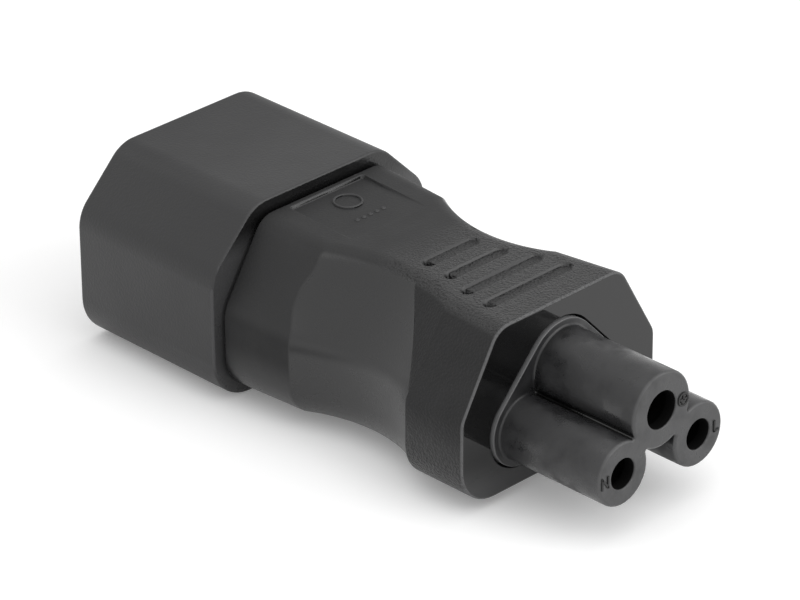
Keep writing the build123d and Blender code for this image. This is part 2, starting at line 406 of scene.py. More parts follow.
@dataclass
class Sheet:
    """A node tree with short ways to add and link its nodes."""

    tree: bpy.types.NodeTree

    def fill(self, node: bpy.types.Node, inputs: Inputs) -> None:
        """Link or set a node's inputs.

        Args:
            node: The node.
            inputs: Values to link and constants to set, by the inputs' names or numbers.
        """
        for key, given in inputs.items():
            if isinstance(given, Value):
                self.tree.links.new(given.socket, node.inputs[key])
            else:
                node.inputs[key].default_value = given

    def add(self, kind: str, inputs: Inputs | None = None, **settings: object) -> bpy.types.Node:
        """Add a node.

        Args:
            kind: Type of the node.
            inputs: Values and constants for its inputs.
            **settings: The node's own settings.

        Returns:
            The new node.
        """
        node = self.tree.nodes.new(kind)
        for key, setting in settings.items():
            setattr(node, key, setting)
        self.fill(node, inputs or {})
        return node

    def value(
        self, output: str | int, kind: str, inputs: Inputs | None = None, **settings: object
    ) -> Value:
        """One output of a new node."""
        return Value(self, self.add(kind, inputs, **settings).outputs[output])

    def math(self, operation: str, one: Number, two: Number = 0.0, **settings: object) -> Value:
        """Result of a Math node."""
        return self.value(0, "ShaderNodeMath", {0: one, 1: two}, operation=operation, **settings)

    def vector(self, operation: str, inputs: Inputs, output: str = "Vector") -> Value:
        """Result of a Vector Math node."""
        return self.value(output, "ShaderNodeVectorMath", inputs, operation=operation)

    def noise(
        self, scale: Number, detail: float, roughness: float = 0.5, vector: Value | None = None
    ) -> Value:
        """Noise over Object coordinates, or over another vector."""
        return self.value("Fac", "ShaderNodeTexNoise", {
            "Vector": vector or self.where, "Scale": scale, "Detail": detail, "Roughness": roughness,
        })

    def mix(self, share: Number, one: Value | Colour, two: Value | Colour) -> Value:
        """Colour between two colours."""
        ends = [end if isinstance(end, Value) else rgba(end) for end in (one, two)]
        return self.value(2, "ShaderNodeMix", {0: share, 6: ends[0], 7: ends[1]}, data_type="RGBA")

    @cached_property
    def where(self) -> Value:
        """Object coordinates in metres."""
        return self.value("Object", "ShaderNodeTexCoord")

    @cached_property
    def places(self) -> bpy.types.Node:
        """Node with the Object coordinates in millimetres."""
        in_mm = self.vector("SCALE", {0: self.where, "Scale": 1 / MM})
        return self.add("ShaderNodeSeparateXYZ", {0: in_mm})

    @cached_property
    def shape(self) -> bpy.types.Node:
        """Node with what the surface is like."""
        return self.add("ShaderNodeNewGeometry")

    @cached_property
    def facings(self) -> bpy.types.Node:
        """Node with the parts of the surface's normal."""
        return self.add("ShaderNodeSeparateXYZ", {0: Value(self, self.shape.outputs["Normal"])})

    def place(self, axis: str) -> Value:
        """Place along an axis, in millimetres."""
        return Value(self, self.places.outputs[axis])

    def facing(self, axis: str) -> Value:
        """How far the surface faces along an axis, from -1 to 1."""
        return Value(self, self.facings.outputs[axis])

    def given(self, name: str) -> Value:
        """One input of this group or tree."""
        return Value(self, self.tree.nodes["Group Input"].outputs[name])

    def give(self, name: str, value: Value) -> None:
        """Hand a value to one output of this group or tree."""
        self.fill(self.tree.nodes["Group Output"], {name: value})

    def give_mesh(self, geometry: Value, material: bpy.types.Material) -> None:
        """Hand out a tree's geometry, made real and with its material."""
        real = self.value(0, "GeometryNodeRealizeInstances", {0: geometry})
        self.give("Geometry", self.value(0, "GeometryNodeSetMaterial", {0: real, "Material": material}))


def rgba(colour: Colour) -> tuple[float, ...]:
    """Colour with full alpha."""
    return (*colour, 1.0)


def scaled(colour: Colour, factor: float) -> Colour:
    """Colour made lighter or darker by a factor."""
    return tuple(min(1.0, part * factor) for part in colour)


def new_sheet(
    kind: str, name: str, inputs: dict[str, Socket], outputs: dict[str, Socket]
) -> Sheet:
    """Start a shader group or a Geometry Nodes tree.

    Args:
        kind: Type of the tree.
        name: Name of the tree.
        inputs: Its inputs' names and kinds.
        outputs: Its outputs' names and kinds.

    Returns:
        The tree's sheet, with its input and output nodes in place.
    """
    tree = bpy.data.node_groups.new(name, kind)
    for in_out, sockets in (("INPUT", inputs), ("OUTPUT", outputs)):
        for title, socket in sockets.items():
            tree.interface.new_socket(title, in_out=in_out, socket_type=socket.value)
    sheet = Sheet(tree)
    sheet.add("NodeGroupInput")
    sheet.add("NodeGroupOutput")
    return sheet


def new_group(name: str, inputs: Sequence[str], outputs: Sequence[str]) -> Sheet:
    """Start a shader group whose inputs and outputs are plain numbers."""
    ends = [dict.fromkeys(titles, Socket.NUMBER) for titles in (inputs, outputs)]
    return new_sheet("ShaderNodeTree", name, *ends)


def new_tree(name: str, inputs: dict[str, Socket]) -> Sheet:
    """Start a Geometry Nodes tree that takes a geometry and these inputs and gives a geometry."""
    shape = {"Geometry": Socket.SHAPE}
    return new_sheet("GeometryNodeTree", name, {**shape, **inputs}, shape)


def spark_grain() -> bpy.types.NodeTree:
    """Group for the fine bumps that a spark-eroded mould leaves.

    Returns:
        The group, with the size of its bumps in millimetres as input.
    """
    sheet = new_group("spark_grain", ["Grain mm"], ["Height"])
    scale = sheet.math("DIVIDE", 1 / MM, sheet.given("Grain mm"))
    cells = sheet.value(
        "Distance", "ShaderNodeTexVoronoi",
        {"Vector": sheet.where, "Scale": scale, "Smoothness": 0.5}, feature="SMOOTH_F1",
    )
    waves, broad = sheet.noise(scale, 3.0, 0.6), sheet.noise(scale * 0.3, 2.0)
    sheet.give("Height", cells + waves + broad * 0.6)
    return sheet.tree


def handling_wear() -> bpy.types.NodeTree:
    """Group for the uneven gloss and tone that handling and moulding leave.

    Returns:
        The group, with the size of its patches in millimetres and their amount as inputs. Its
        gloss lies around 0 and its tone around 0.5.
    """
    sheet = new_group("handling_wear", ["Patch mm", "Amount"], ["Gloss", "Tone"])
    scale = sheet.math("DIVIDE", 1 / MM, sheet.given("Patch mm"))
    patches, flow = sheet.noise(scale, 4.0, 0.55), sheet.noise(scale * 0.35, 1.0)
    sheet.give("Gloss", (patches - 0.5) * sheet.given("Amount"))
    sheet.give("Tone", (flow - 0.5) * sheet.given("Amount") + 0.5)
    return sheet.tree


def worn_and_highlit_edges() -> bpy.types.NodeTree:
    """Group for the lighter line along crisp edges: wear, and a painted highlight where light catches
    them.

    Returns:
        The group, with the line's strength as input and a mask as output, 0 on flat faces
        that lie across the adapter.
    """
    sheet = new_group("worn_and_highlit_edges", ["Strength"], ["Mask"])
    crisp = Value(sheet, sheet.shape.outputs["Pointiness"]).ramp(*POINTED)
    crisp = crisp * abs(sheet.facing("Y")).ramp(*ACROSS, 1.0, 0.0)
    sheet.give("Mask", crisp * sheet.given("Strength"))
    return sheet.tree


@dataclass(frozen=True)
class Groups:
    """Shader node groups that several finishes share."""

    grain: bpy.types.NodeTree
    wear: bpy.types.NodeTree
    edges: bpy.types.NodeTree

    @classmethod
    def build(cls) -> "Groups":
        """Build each group once."""
        return cls(spark_grain(), handling_wear(), worn_and_highlit_edges())


@dataclass
class Surface:
    """A material in the making: its sheet, its shader and the shared groups."""

    name: str
    groups: Groups

    def __post_init__(self) -> None:
        """Start the material with its shader."""
        self.material = bpy.data.materials.new(self.name)
        self.material.use_nodes = True
        self.sheet = Sheet(self.material.node_tree)
        self.shader = self.material.node_tree.nodes["Principled BSDF"]

    def group(self, tree: bpy.types.NodeTree, values: Inputs) -> dict[str, Value]:
        """Place a shared group with this material's own values and give its outputs."""
        node = self.sheet.add("ShaderNodeGroup", values, node_tree=tree)
        return {socket.name: Value(self.sheet, socket) for socket in node.outputs}

    def grain(self, size_mm: float) -> Value:
        """Height of the grain, in bumps of the given size."""
        return self.group(self.groups.grain, {"Grain mm": size_mm})["Height"]

    def wear(self, patch_mm: float, amount: float) -> tuple[Value, Value]:
        """Uneven gloss, and the share of a material's second tone.

        Args:
            patch_mm: Size of the patches.
            amount: How uneven they are.

        Returns:
            The gloss, around 0, and the share. The share is 1 all over for amounts up to a
            third, because the group's tone lies around 0.5.
        """
        found = self.group(self.groups.wear, {"Patch mm": patch_mm, "Amount": amount})
        return found["Gloss"], found["Tone"].ramp(-amount, amount)

    def worn_and_highlit(self, strength: float) -> Value:
        """Mask of the crisp edges that wear lightens and that carry a painted highlight."""
        return self.group(self.groups.edges, {"Strength": strength})["Mask"]

    def finish(self, values: Inputs, height: Value, depth_mm: float) -> bpy.types.Material:
        """Set the shader and raise the surface by a height.

        Args:
            values: Values and constants for the shader's inputs.
            height: The height.
            depth_mm: How deep a height of 1 is.

        Returns:
            The material.
        """
        inputs = {"Height": height, "Distance": depth_mm * MM, "Strength": 1.0}
        raised = self.sheet.value("Normal", "ShaderNodeBump", inputs)
        self.sheet.fill(self.shader, {**values, "Normal": raised})
        return self.material


# Finishes


@dataclass(frozen=True)
class MouldedPlastic:
    """Hard plastic from a mould with one even texture."""

    name: str
    colour: Colour
    # Colour of the crisp edges: wear, and a painted highlight.
    edge_wear_highlight_colour: Colour
    roughness: float
    grain_mm: float
    grain_depth_mm: float
    patch_mm: float = 5.0
    unevenness: float = 0.12
    gloss_level: float = 0.5
    contrast: float = 1.25
    edge_wear_and_highlight: float = 0.8

    def tint(self, sheet: Sheet, body: Value) -> Value:
        """Colour of the zones that differ; plain mouldings have none."""
        return body

    def texture(self, sheet: Sheet, rough: Value) -> Value:
        """Roughness of the zones that differ; plain mouldings have none."""
        return rough

    def material(self, groups: Groups) -> bpy.types.Material:
        """Build the material.

        Args:
            groups: The shared node groups.

        Returns:
            The material.
        """
        surface = Surface(self.name, groups)
        sheet = surface.sheet
        gloss, tone = surface.wear(self.patch_mm, self.unevenness)
        lighter = scaled(self.colour, self.contrast)
        body = self.tint(sheet, sheet.mix(tone, self.colour, lighter))
        return surface.finish({
            # Crisp edges lighter: wear, and a painted highlight.
            "Base Color": sheet.mix(surface.worn_and_highlit(self.edge_wear_and_highlight), body, self.edge_wear_highlight_colour),
            "Roughness": self.texture(sheet, gloss + self.roughness).clamped(),
            "IOR": 1.5,
            "Specular IOR Level": self.gloss_level,
        }, surface.grain(self.grain_mm), self.grain_depth_mm)


@dataclass(frozen=True)
class ShroudPlastic(MouldedPlastic):
    """Shroud's plastic: duller towards the mouth on top, smoother on the rim that faces the grip, with
    painted light on the rim's sides and painted shade on its top.
    """

    # Rim face: painted light at the sides, painted shade on top.
    rim_side_light_colour: Colour = (0.048, 0.048, 0.049)
    rim_top_shade_colour: Colour = (0.004, 0.004, 0.0041)
    rim_change: float = -0.2
    rim_z: Span = (14.5, 17.5)
    mouth_change: float = 0.2
    top_facing: Span = (0.8, 0.98)

    def rim(self, sheet: Sheet) -> Value:
        """Mask of the rim's face."""
        return sheet.facing("Y").ramp(*FACING_AHEAD, 1.0, 0.0)

    def tint(self, sheet: Sheet, body: Value) -> Value:
        """Paint light on the rim's sides and shade on its top."""
        colour = sheet.mix(sheet.place("Z").ramp(*self.rim_z), self.rim_side_light_colour, self.rim_top_shade_colour)
        return sheet.mix(self.rim(sheet), body, colour)

    def texture(self, sheet: Sheet, rough: Value) -> Value:
        """Make the rim smoother and the top duller towards the mouth.

        Args:
            sheet: The material's sheet.
            rough: Roughness of the rest.

        Returns:
            The roughness.
        """
        up = sheet.facing("Z").ramp(*self.top_facing, 0.0, self.mouth_change)
        back = sheet.place("Y").ramp(PLANES.rim, PLANES.mouth)
        return rough + up * back + self.rim(sheet) * self.rim_change


@dataclass(frozen=True)
class NosePlastic(MouldedPlastic):
    """Insert's plastic: painted light on the face at the tip, a painted highlight on the flange's side,
    painted shade in the creases where two barrels meet.
    """

    # Painted light on the face at the tip.
    tip_light_colour: Colour = (0.037, 0.037, 0.0379)
    tip_run: Span = (0.15, 0.45)
    tip_facing: Span = (-0.9, -0.5)
    # Painted shade in the creases and at the upper barrel's root.
    crease_shade_colour: Colour = (0.0012, 0.0012, 0.0012)
    crease: Point = (3.36, 9.67)
    crease_run: Span = (0.25, 1.15)
    crease_change: float = -0.27
    upper_run: Span = (0.45, 0.9)
    # Painted highlight on the flange's side.
    flange_highlight_colour: Colour = (0.14, 0.14, 0.142)
    flange_proud: float = 0.3
    flange_blur: float = 0.06
    root_length: float = 2.4
    root_share: float = 0.6
    root_rise: float = 0.8

    def crease_and_root_shade(self, sheet: Sheet) -> Value:
        """Mask of the painted shade in the creases between the barrels and at the upper barrel's root.

        Args:
            sheet: The material's sheet.

        Returns:
            The mask, 0 on the face at the tip.
        """
        across = abs(sheet.place("X")) - self.crease[0]
        rise = sheet.place("Z") - self.crease[1]
        away = sheet.math("SQRT", rise * rise + across * across)
        crease = away.ramp(*self.crease_run, 1.0, 0.0)
        root = sheet.place("Y").ramp(
            PLANES.front - self.root_length, PLANES.front, 0.0, self.root_share
        )
        root = root * rise.ramp(0.0, self.root_rise)
        upper = across.ramp(*self.upper_run, 1.0, 0.0)
        return crease.most(root) * upper * sheet.facing("Y").ramp(*self.tip_facing)

    def texture(self, sheet: Sheet, rough: Value) -> Value:
        """Make the creases smoother, so that they mirror the barrels beside them."""
        return rough + self.crease_and_root_shade(sheet) * self.crease_change

    def tint(self, sheet: Sheet, body: Value) -> Value:
        """Paint shade into the creases and the root, a highlight onto the flange's side and light onto
        the face at the tip.

        Args:
            sheet: The material's sheet.
            body: Colour of the rest.

        Returns:
            The colour.
        """
        # Painted shade in the creases and at the root.
        body = sheet.mix(self.crease_and_root_shade(sheet), body, self.crease_shade_colour)
        # Painted highlight on the flange's side.
        edge = PLANES.front - self.flange_proud
        flange = sheet.place("Y").ramp(edge, edge + self.flange_blur)
        body = sheet.mix(flange, body, self.flange_highlight_colour)
        # Painted light on the face at the tip.
        low, high = (PLANES.tip + run for run in self.tip_run)
        return sheet.mix(sheet.place("Y").ramp(low, high, 1.0, 0.0), body, self.tip_light_colour)


@dataclass(frozen=True)
class GripZones:
    """Places on the grip and the masks of its zones."""

    height: Value
    ahead: Value
    up: Value
    on_top: Value
    past_end: Value
    scoop: Value
    wall: Value
    off_face: Value
    streak: Value


@dataclass(frozen=True)
class GripVinyl:
    """Soft vinyl of the grip: satin scoops, leathery grain on its front block, polished face; painted
    light on the scoops, the recess walls, the front edge and the face's lower part.
    """

    name: str
    rim_y: float
    front_y: float
    scoop_start: float
    scoop_end: float
    bulge: float
    bulge_low: Span
    bulge_high: Span
    colour: Colour = (0.0055, 0.0055, 0.0058)
    face_colour: Colour = (0.0055, 0.0055, 0.0056)
    # Painted light on the front face's lower part.
    face_low_light_colour: Colour = (0.03, 0.03, 0.0306)
    face_low: Span = (2.2, 6.0)
    # Painted light on the scoops.
    scoop_light_colour: Colour = (0.02, 0.02, 0.0204)
    # Painted light on the walls of the panel and slots.
    wall_light_colour: Colour = (0.026, 0.026, 0.0265)
    # Colour of the crisp edges: wear, and a painted highlight.
    edge_wear_highlight_colour: Colour = (0.045, 0.045, 0.046)
    edge_wear_and_highlight: float = 0.7
    # Painted highlight along the front edge.
    front_edge_highlight_colour: Colour = (0.09, 0.09, 0.0915)
    front_edge: Span = (0.25, 0.16)
    contrast: float = 1.3
    patch_mm: float = 3.5
    unevenness: float = 0.16
    scoop_roughness: float = 0.28
    textured_roughness: float = 0.68
    bevel_roughness: float = 0.8
    rear_bevel_roughness: float = 0.58
    bevel_facing: Span = (0.05, 0.5)
    side_roughness: float = 0.8
    grain_roughness: float = 0.42
    face_roughness: float = 0.05
    streak_roughness: float = 0.62
    streak_z: float = 8.9
    streak_half: float = 0.85
    streak_slope: float = 0.12
    streak_bend: float = 12.0
    streak_run: Span = (9.0, 19.0)
    streak_share: Span = (0.9, 0.2)
    top_facing: Span = (0.62, 0.82)
    panel_z: Span = (17.0, 17.2)
    panel_half: Span = (5.6, 5.8)
    wall_facing: Span = (0.14, 0.34)
    wall_run: Span = (28.5, 29.5)
    shoulder_z: float = 9.7
    edge_lean: float = 0.74
    start_blur: float = 0.2
    end_blur: float = 0.25
    grain_mm: float = 0.27
    grain_depth_mm: float = 0.26
    grain_run: Span = (12.0, 19.0)
    grain_least: float = 0.06
    side_grain_z: Span = (3.5, 9.0)
    side_grain: Span = (0.9, 0.35)
    foot_low: float = 3.5
    foot_high: Span = (7.5, 9.8)
    fine_mm: float = 0.16
    fine_depth_mm: float = 0.008

    def zones(self, sheet: Sheet) -> GripZones:
        """Find the grip's zones.

        Args:
            sheet: The material's sheet.

        Returns:
            The zones' masks.
        """
        height, ahead = sheet.place("Z"), self.rim_y - sheet.place("Y")
        panel = height.ramp(*self.panel_z) * abs(sheet.place("X")).ramp(*self.panel_half, 1.0, 0.0)
        bulge = (height.ramp(*self.bulge_low) - height.ramp(*self.bulge_high)) * self.bulge
        past_start = (ahead + bulge).ramp(
            self.scoop_start - self.start_blur, self.scoop_start + self.start_blur
        )
        lean = (height - self.shoulder_z).most(0.0) * self.edge_lean
        past_end = (ahead + lean).ramp(self.scoop_end, self.scoop_end + self.end_blur)
        scoop = past_start - past_end
        tilted = abs(sheet.facing("Y")).ramp(*self.wall_facing)
        run = (ahead - self.streak_bend).most(0.0)
        off = abs(height - self.streak_z - run * self.streak_slope)
        near = off.ramp(0.0, self.streak_half, 1.0, 0.0)
        return GripZones(
            height=height,
            ahead=ahead,
            up=sheet.facing("Z").ramp(*self.top_facing).most(panel),
            on_top=ahead.ramp(*self.grain_run, self.grain_least, 1.0),
            past_end=past_end,
            scoop=scoop,
            wall=tilted * (panel * ahead.ramp(*self.wall_run, 1.0, 0.0)),
            off_face=sheet.facing("Y").ramp(*FACING_AHEAD),
            streak=near * scoop * ahead.ramp(*self.streak_run, *self.streak_share),
        )

    def roughness(self, sheet: Sheet, zones: GripZones) -> Value:
        """Roughness of the zones.

        Args:
            sheet: The material's sheet.
            zones: The grip's zones.

        Returns:
            The roughness.
        """
        foot_end = zones.past_end.blend(*self.foot_high)
        foot = zones.height.ramp(self.foot_low, foot_end, 1.0, 0.0)
        bevel = zones.past_end.blend(self.rear_bevel_roughness, self.bevel_roughness)
        matt = sheet.facing("Z").ramp(*self.bevel_facing).blend(self.side_roughness, bevel)
        side = zones.scoop.most(foot).blend(matt, self.scoop_roughness)
        side = zones.streak.blend(side, self.streak_roughness)
        top = zones.on_top.blend(self.textured_roughness, self.grain_roughness)
        return zones.off_face.blend(self.face_roughness, zones.up.blend(side, top))

    def colouring(self, sheet: Sheet, zones: GripZones, tone: Value) -> Value:
        """Colour of the zones, with painted light on the scoops, on the walls of the panel and slots,
        on the band along the front edge and on the face's lower part.

        Args:
            sheet: The material's sheet.
            zones: The grip's zones.
            tone: Share of the lighter tone.

        Returns:
            The colour.
        """
        body = sheet.mix(tone, self.colour, scaled(self.colour, self.contrast))
        # Painted light on the scoops, left off along the streak.
        scoop_light = (zones.scoop * (1.0 - zones.up) - zones.streak).clamped()
        body = sheet.mix(scoop_light, body, self.scoop_light_colour)
        # Painted light on the walls of the panel and slots.
        body = sheet.mix(zones.wall, body, self.wall_light_colour)
        # Painted highlight along the front edge.
        low, high = (self.rim_y - self.front_y - inset for inset in self.front_edge)
        body = sheet.mix(zones.ahead.ramp(low, high), body, self.front_edge_highlight_colour)
        # Painted light on the face's lower part.
        face = sheet.mix(
            zones.height.ramp(*self.face_low), self.face_low_light_colour, self.face_colour
        )
        return sheet.mix(zones.off_face, face, body)

    def relief(self, surface: Surface, zones: GripZones) -> Value:
        """Height of the grain: coarse on the front block, fine on all but the front face.

        Args:
            surface: The material in the making.
            zones: The grip's zones.

        Returns:
            The height, as a share of the coarse grain's depth.
        """
        side = zones.past_end * zones.height.ramp(*self.side_grain_z, *self.side_grain)
        weight = zones.up.blend(side, zones.on_top) * (zones.off_face - zones.wall).clamped()
        fine = zones.off_face * (self.fine_depth_mm / self.grain_depth_mm)
        return surface.grain(self.fine_mm) * fine + surface.grain(self.grain_mm) * weight

    def material(self, groups: Groups) -> bpy.types.Material:
        """Build the material.

        Args:
            groups: The shared node groups.

        Returns:
            The material.
        """
        surface = Surface(self.name, groups)
        sheet = surface.sheet
        zones = self.zones(sheet)
        gloss, tone = surface.wear(self.patch_mm, self.unevenness)
        body = self.colouring(sheet, zones, tone)
        rough = gloss * zones.off_face + self.roughness(sheet, zones)
        return surface.finish({
            # Crisp edges lighter: wear, and a painted highlight.
            "Base Color": sheet.mix(surface.worn_and_highlit(self.edge_wear_and_highlight), body, self.edge_wear_highlight_colour),
            "Roughness": rough.clamped(),
            "IOR": 1.5,
        }, self.relief(surface, zones), self.grain_depth_mm)


@dataclass(frozen=True)
class BareMetal:
    """Metal with fine marks along one direction from drawing or rolling."""

    name: str
    colour: Colour
    dull_colour: Colour
    roughness: float
    along_mm: float = 3.0
    across_mm: float = 0.12
    patch_mm: float = 1.6
    unevenness: float = 0.2
    mark_depth_mm: float = 0.0012

    def material(self, groups: Groups) -> bpy.types.Material:
        """Build the material.

        Args:
            groups: The shared node groups.

        Returns:
            The material.
        """
        surface = Surface(self.name, groups)
        sheet = surface.sheet
        across, along = 1 / self.across_mm / MM, 1 / self.along_mm / MM
        drawn = sheet.value(
            0, "ShaderNodeMapping", {"Vector": sheet.where, "Scale": (across, along, across)}
        )
        gloss, tone = surface.wear(self.patch_mm, self.unevenness)
        return surface.finish({
            "Base Color": sheet.mix(tone, self.colour, self.dull_colour),
            "Roughness": (gloss + self.roughness).clamped(),
            "Metallic": 1.0,
        }, sheet.noise(1.0, 3.0, vector=drawn), self.mark_depth_mm)


@dataclass(frozen=True)
class WireVinyl:
    """Insulation of one colour, or with a stripe of a second one."""

    name: str
    colour: Colour
    stripe: Colour | None = None
    stripe_centre: Point = (0.0, 11.5)
    stripe_blur: float = 0.05
    roughness: float = 0.38
    contrast: float = 0.8
    patch_mm: float = 2.0
    unevenness: float = 0.15
    grain_mm: float = 0.2
    grain_depth_mm: float = 0.006

    def striped(self, sheet: Sheet, body: Value) -> Value:
        """Lay the stripe on two sides of the wire.

        Args:
            sheet: The material's sheet.
            body: Colour between the stripes.

        Returns:
            The colour.
        """
        side = sheet.place("X") - self.stripe_centre[0]
        rise = sheet.place("Z") - self.stripe_centre[1]
        wave = sheet.math("COSINE", sheet.math("ARCTAN2", rise, side) * 2.0)
        return sheet.mix(wave.ramp(-self.stripe_blur, self.stripe_blur), body, self.stripe)

    def material(self, groups: Groups) -> bpy.types.Material:
        """Build the material.

        Args:
            groups: The shared node groups.

        Returns:
            The material.
        """
        surface = Surface(self.name, groups)
        sheet = surface.sheet
        gloss, tone = surface.wear(self.patch_mm, self.unevenness)
        body = sheet.mix(tone, self.colour, scaled(self.colour, self.contrast))
        return surface.finish({
            "Base Color": self.striped(sheet, body) if self.stripe else body,
            "Roughness": (gloss + self.roughness).clamped(),
            "IOR": 1.5,
        }, surface.grain(self.grain_mm), self.grain_depth_mm)


# The adapter's sizes


@dataclass(frozen=True)
class Planes:
    """Planes across the adapter, in millimetres along +Y."""

    mouth: float = 31.425
    floor: float = 14.625
    rim: float = 12.525
    boss: float = 7.525
    pin_plate: float = 6.125
    pin_crimp_end: float = 1.525
    contact_crimp_end: float = -4.775
    contact_plate: float = -9.375
    insert: float = -10.775
    front: float = -18.775
    hole_end: float = -30.025
    tip: float = -31.425


PLANES = Planes()


def bent_route(start: Vector, end: Vector, lead: float, radius: float) -> Route:
    """Route that leaves straight, shifts sideways in two bends and arrives straight.

    Args:
        start: First point.
        end: Last point, towards -Y of the first.
        lead: Straight length at each end.
        radius: Radius of both bends.

    Returns:
        Pairs of point and direction.
    """
    first, last = start + AHEAD * lead, end - AHEAD * lead
    slant = (last - first).normalized()
    turn = AHEAD.angle(slant)
    reach = radius * math.tan(turn / 2)
    stride = 2 * radius * math.sin(turn / (2 * BEND_STEPS))
    route = [(start, AHEAD)]
    for corner, inward, outward in ((first, AHEAD, slant), (last, slant, AHEAD)):
        place = corner - inward * reach
        for step in range(BEND_STEPS + 1):
            heading = inward.slerp(outward, step / BEND_STEPS) if turn > LEAST_TURN else AHEAD
            if step:
                place = place + (heading + route[-1][1]).normalized() * stride
            route.append((place, heading))
    route.append((end, AHEAD))
    return route


@dataclass(frozen=True)
class Pole:
    """One conductor path, from its blade to its socket."""

    name: str
    blade: Point
    socket: Point
    barrel_radius: float
    hole_radius: float
    bore_radius: float
    sleeve_wall: float = 0.6
    collar_margin: float = 0.5

    @property
    def sleeve_radius(self) -> float:
        """Outer radius of the spring sleeve."""
        return self.bore_radius + self.sleeve_wall

    @property
    def collar_radius(self) -> float:
        """Outer radius of the spring sleeve's collar."""
        return self.sleeve_radius + self.collar_margin

    def wire_route(self) -> Route:
        """Route of the wire.

        Returns:
            Pairs of point and direction, from the blade's crimp to the socket's.
        """
        start = Vector((self.blade[0], PLANES.pin_crimp_end, self.blade[1]))
        end = Vector((self.socket[0], PLANES.contact_crimp_end, self.socket[1]))
        return bent_route(start, end, WIRE_LEAD, WIRE_BEND)


LINE = Pole("line", (7.0, 7.7), (4.98, 6.88), 3.22, 1.52, 1.2)
NEUTRAL = Pole("neutral", (-7.0, 7.7), (-4.98, 6.88), 3.22, 1.52, 1.2)
EARTH = Pole("earth", (0.0, 11.7), (0.0, 11.39), 3.78, 1.87, 1.55)
POLES = (LINE, NEUTRAL, EARTH)


def tube_rings(draft: MeshDraft, route: Route, radius: float) -> list[Ring]:
    """Rings of a tube along a route, which match circles across the adapter.

    Args:
        draft: Draft that gets the points.
        route: Pairs of point and direction.
        radius: Radius of the tube.

    Returns:
        The rings in order.
    """
    rings = []
    for place, heading in route:
        turn = AHEAD.rotation_difference(heading)
        rings.append(draft.add(
            place + turn @ Vector((x, 0, z)) for x, z in circle((0, 0), radius)
        ))
    return rings


def taut_outline(margin: float, steps: int = 20) -> list[Point]:
    """Taut outline around the three sockets' barrels.

    Args:
        margin: How far the outline stands off the barrels.
        steps: Runs along each of its arcs.

    Returns:
        The outline's points, counterclockwise from the lower side of the line socket.
    """
    order = (LINE, EARTH, NEUTRAL)
    normals = []
    for index, pole in enumerate(order):
        after = order[(index + 1) % 3]
        run = Vector(after.socket) - Vector(pole.socket)
        slant = math.acos((pole.barrel_radius - after.barrel_radius) / run.length)
        normals.append(math.atan2(run.y, run.x) - slant)
    outline = []
    for index, pole in enumerate(order):
        start, end = normals[index - 1], normals[index]
        while end < start:
            end += 2 * math.pi
        outline.extend(arc(pole.socket, pole.barrel_radius + margin, start, end, steps))
    return outline


def nose_outline(inset: float, neck: float, steps: int = 28) -> list[Point]:
    """Outline of the three joined barrels with rounded necks between them.

    Args:
        inset: How far the outline is drawn in from the barrels.
        neck: Radius of the necks where nothing is drawn in.
        steps: Runs along each of the long arcs.

    Returns:
        The outline's points, counterclockwise.
    """
    earth, line = Vector(EARTH.socket), Vector(LINE.socket)
    big, small, hollow = EARTH.barrel_radius - inset, LINE.barrel_radius - inset, neck + inset
    run = line - earth
    far, near = big + hollow, small + hollow
    swing = math.acos((far**2 + run.length**2 - near**2) / (2 * far * run.length))
    centres, from_earth, from_line = [], [], []
    for side in (-1, 1):
        angle = math.atan2(run.y, run.x) + side * swing
        centre = earth + far * Vector((math.cos(angle), math.sin(angle)))
        centres.append(tuple(centre))
        from_earth.append(angle)
        from_line.append(math.atan2(centre.y - line.y, centre.x - line.x))
    if from_line[0] > from_line[1]:
        from_line[0] -= 2 * math.pi
    low_neck = arc(
        centres[0], hollow, from_earth[0] + math.pi, from_line[0] + math.pi, NECK_STEPS
    )
    high_neck = arc(
        centres[1], hollow, from_line[1] + math.pi, from_earth[1] + math.pi, NECK_STEPS
    )
    right = [
        *arc(tuple(earth), big, -math.pi / 2, from_earth[0], steps // 4), *low_neck[1:-1],
        *arc(tuple(line), small, *from_line, steps), *high_neck[1:-1],
        *arc(tuple(earth), big, from_earth[1], math.pi / 2, steps // 2),
    ]
    return right + [(-x, z) for x, z in reversed(right[1:-1])]


@dataclass
class Assembly:
    """What every sub-assembly shares: the frame's nodes and the groups."""

    nodes: dict[str, bpy.types.Object]
    groups: Groups

    def hand_over(self, piece: bpy.types.Object, slot: Slot, *replaced: str) -> bpy.types.Object:
        """Place a finished piece on the part's one body.

        Args:
            piece: The finished piece.
            slot: Material slot that it stands for; only named in the log.
            *replaced: CAD nodes that it stands for.

        Returns:
            The piece.
        """
        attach(piece, "root")
        if replaced:
            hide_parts(*replaced)
        log.info("%s: %d faces, slot %s", piece.name, len(piece.data.polygons), slot.value)
        return piece

    def dress(self, piece: bpy.types.Object, *materials: bpy.types.Material) -> None:
        """Give a piece its material, and a second one for its inner faces where it has them."""
        for material in materials:
            piece.data.materials.append(material)

    def dress_node(self, node: str, material: bpy.types.Material) -> None:
        """Give a CAD node that stays a better material.

        Args:
            node: Name of the node.
            material: Its material.
        """
        solid = self.nodes[node]
        if not solid.material_slots:
            solid.data.materials.append(material)
        for place in solid.material_slots:
            place.material = material
        log.info("%s: dressed as %s", node, material.name)


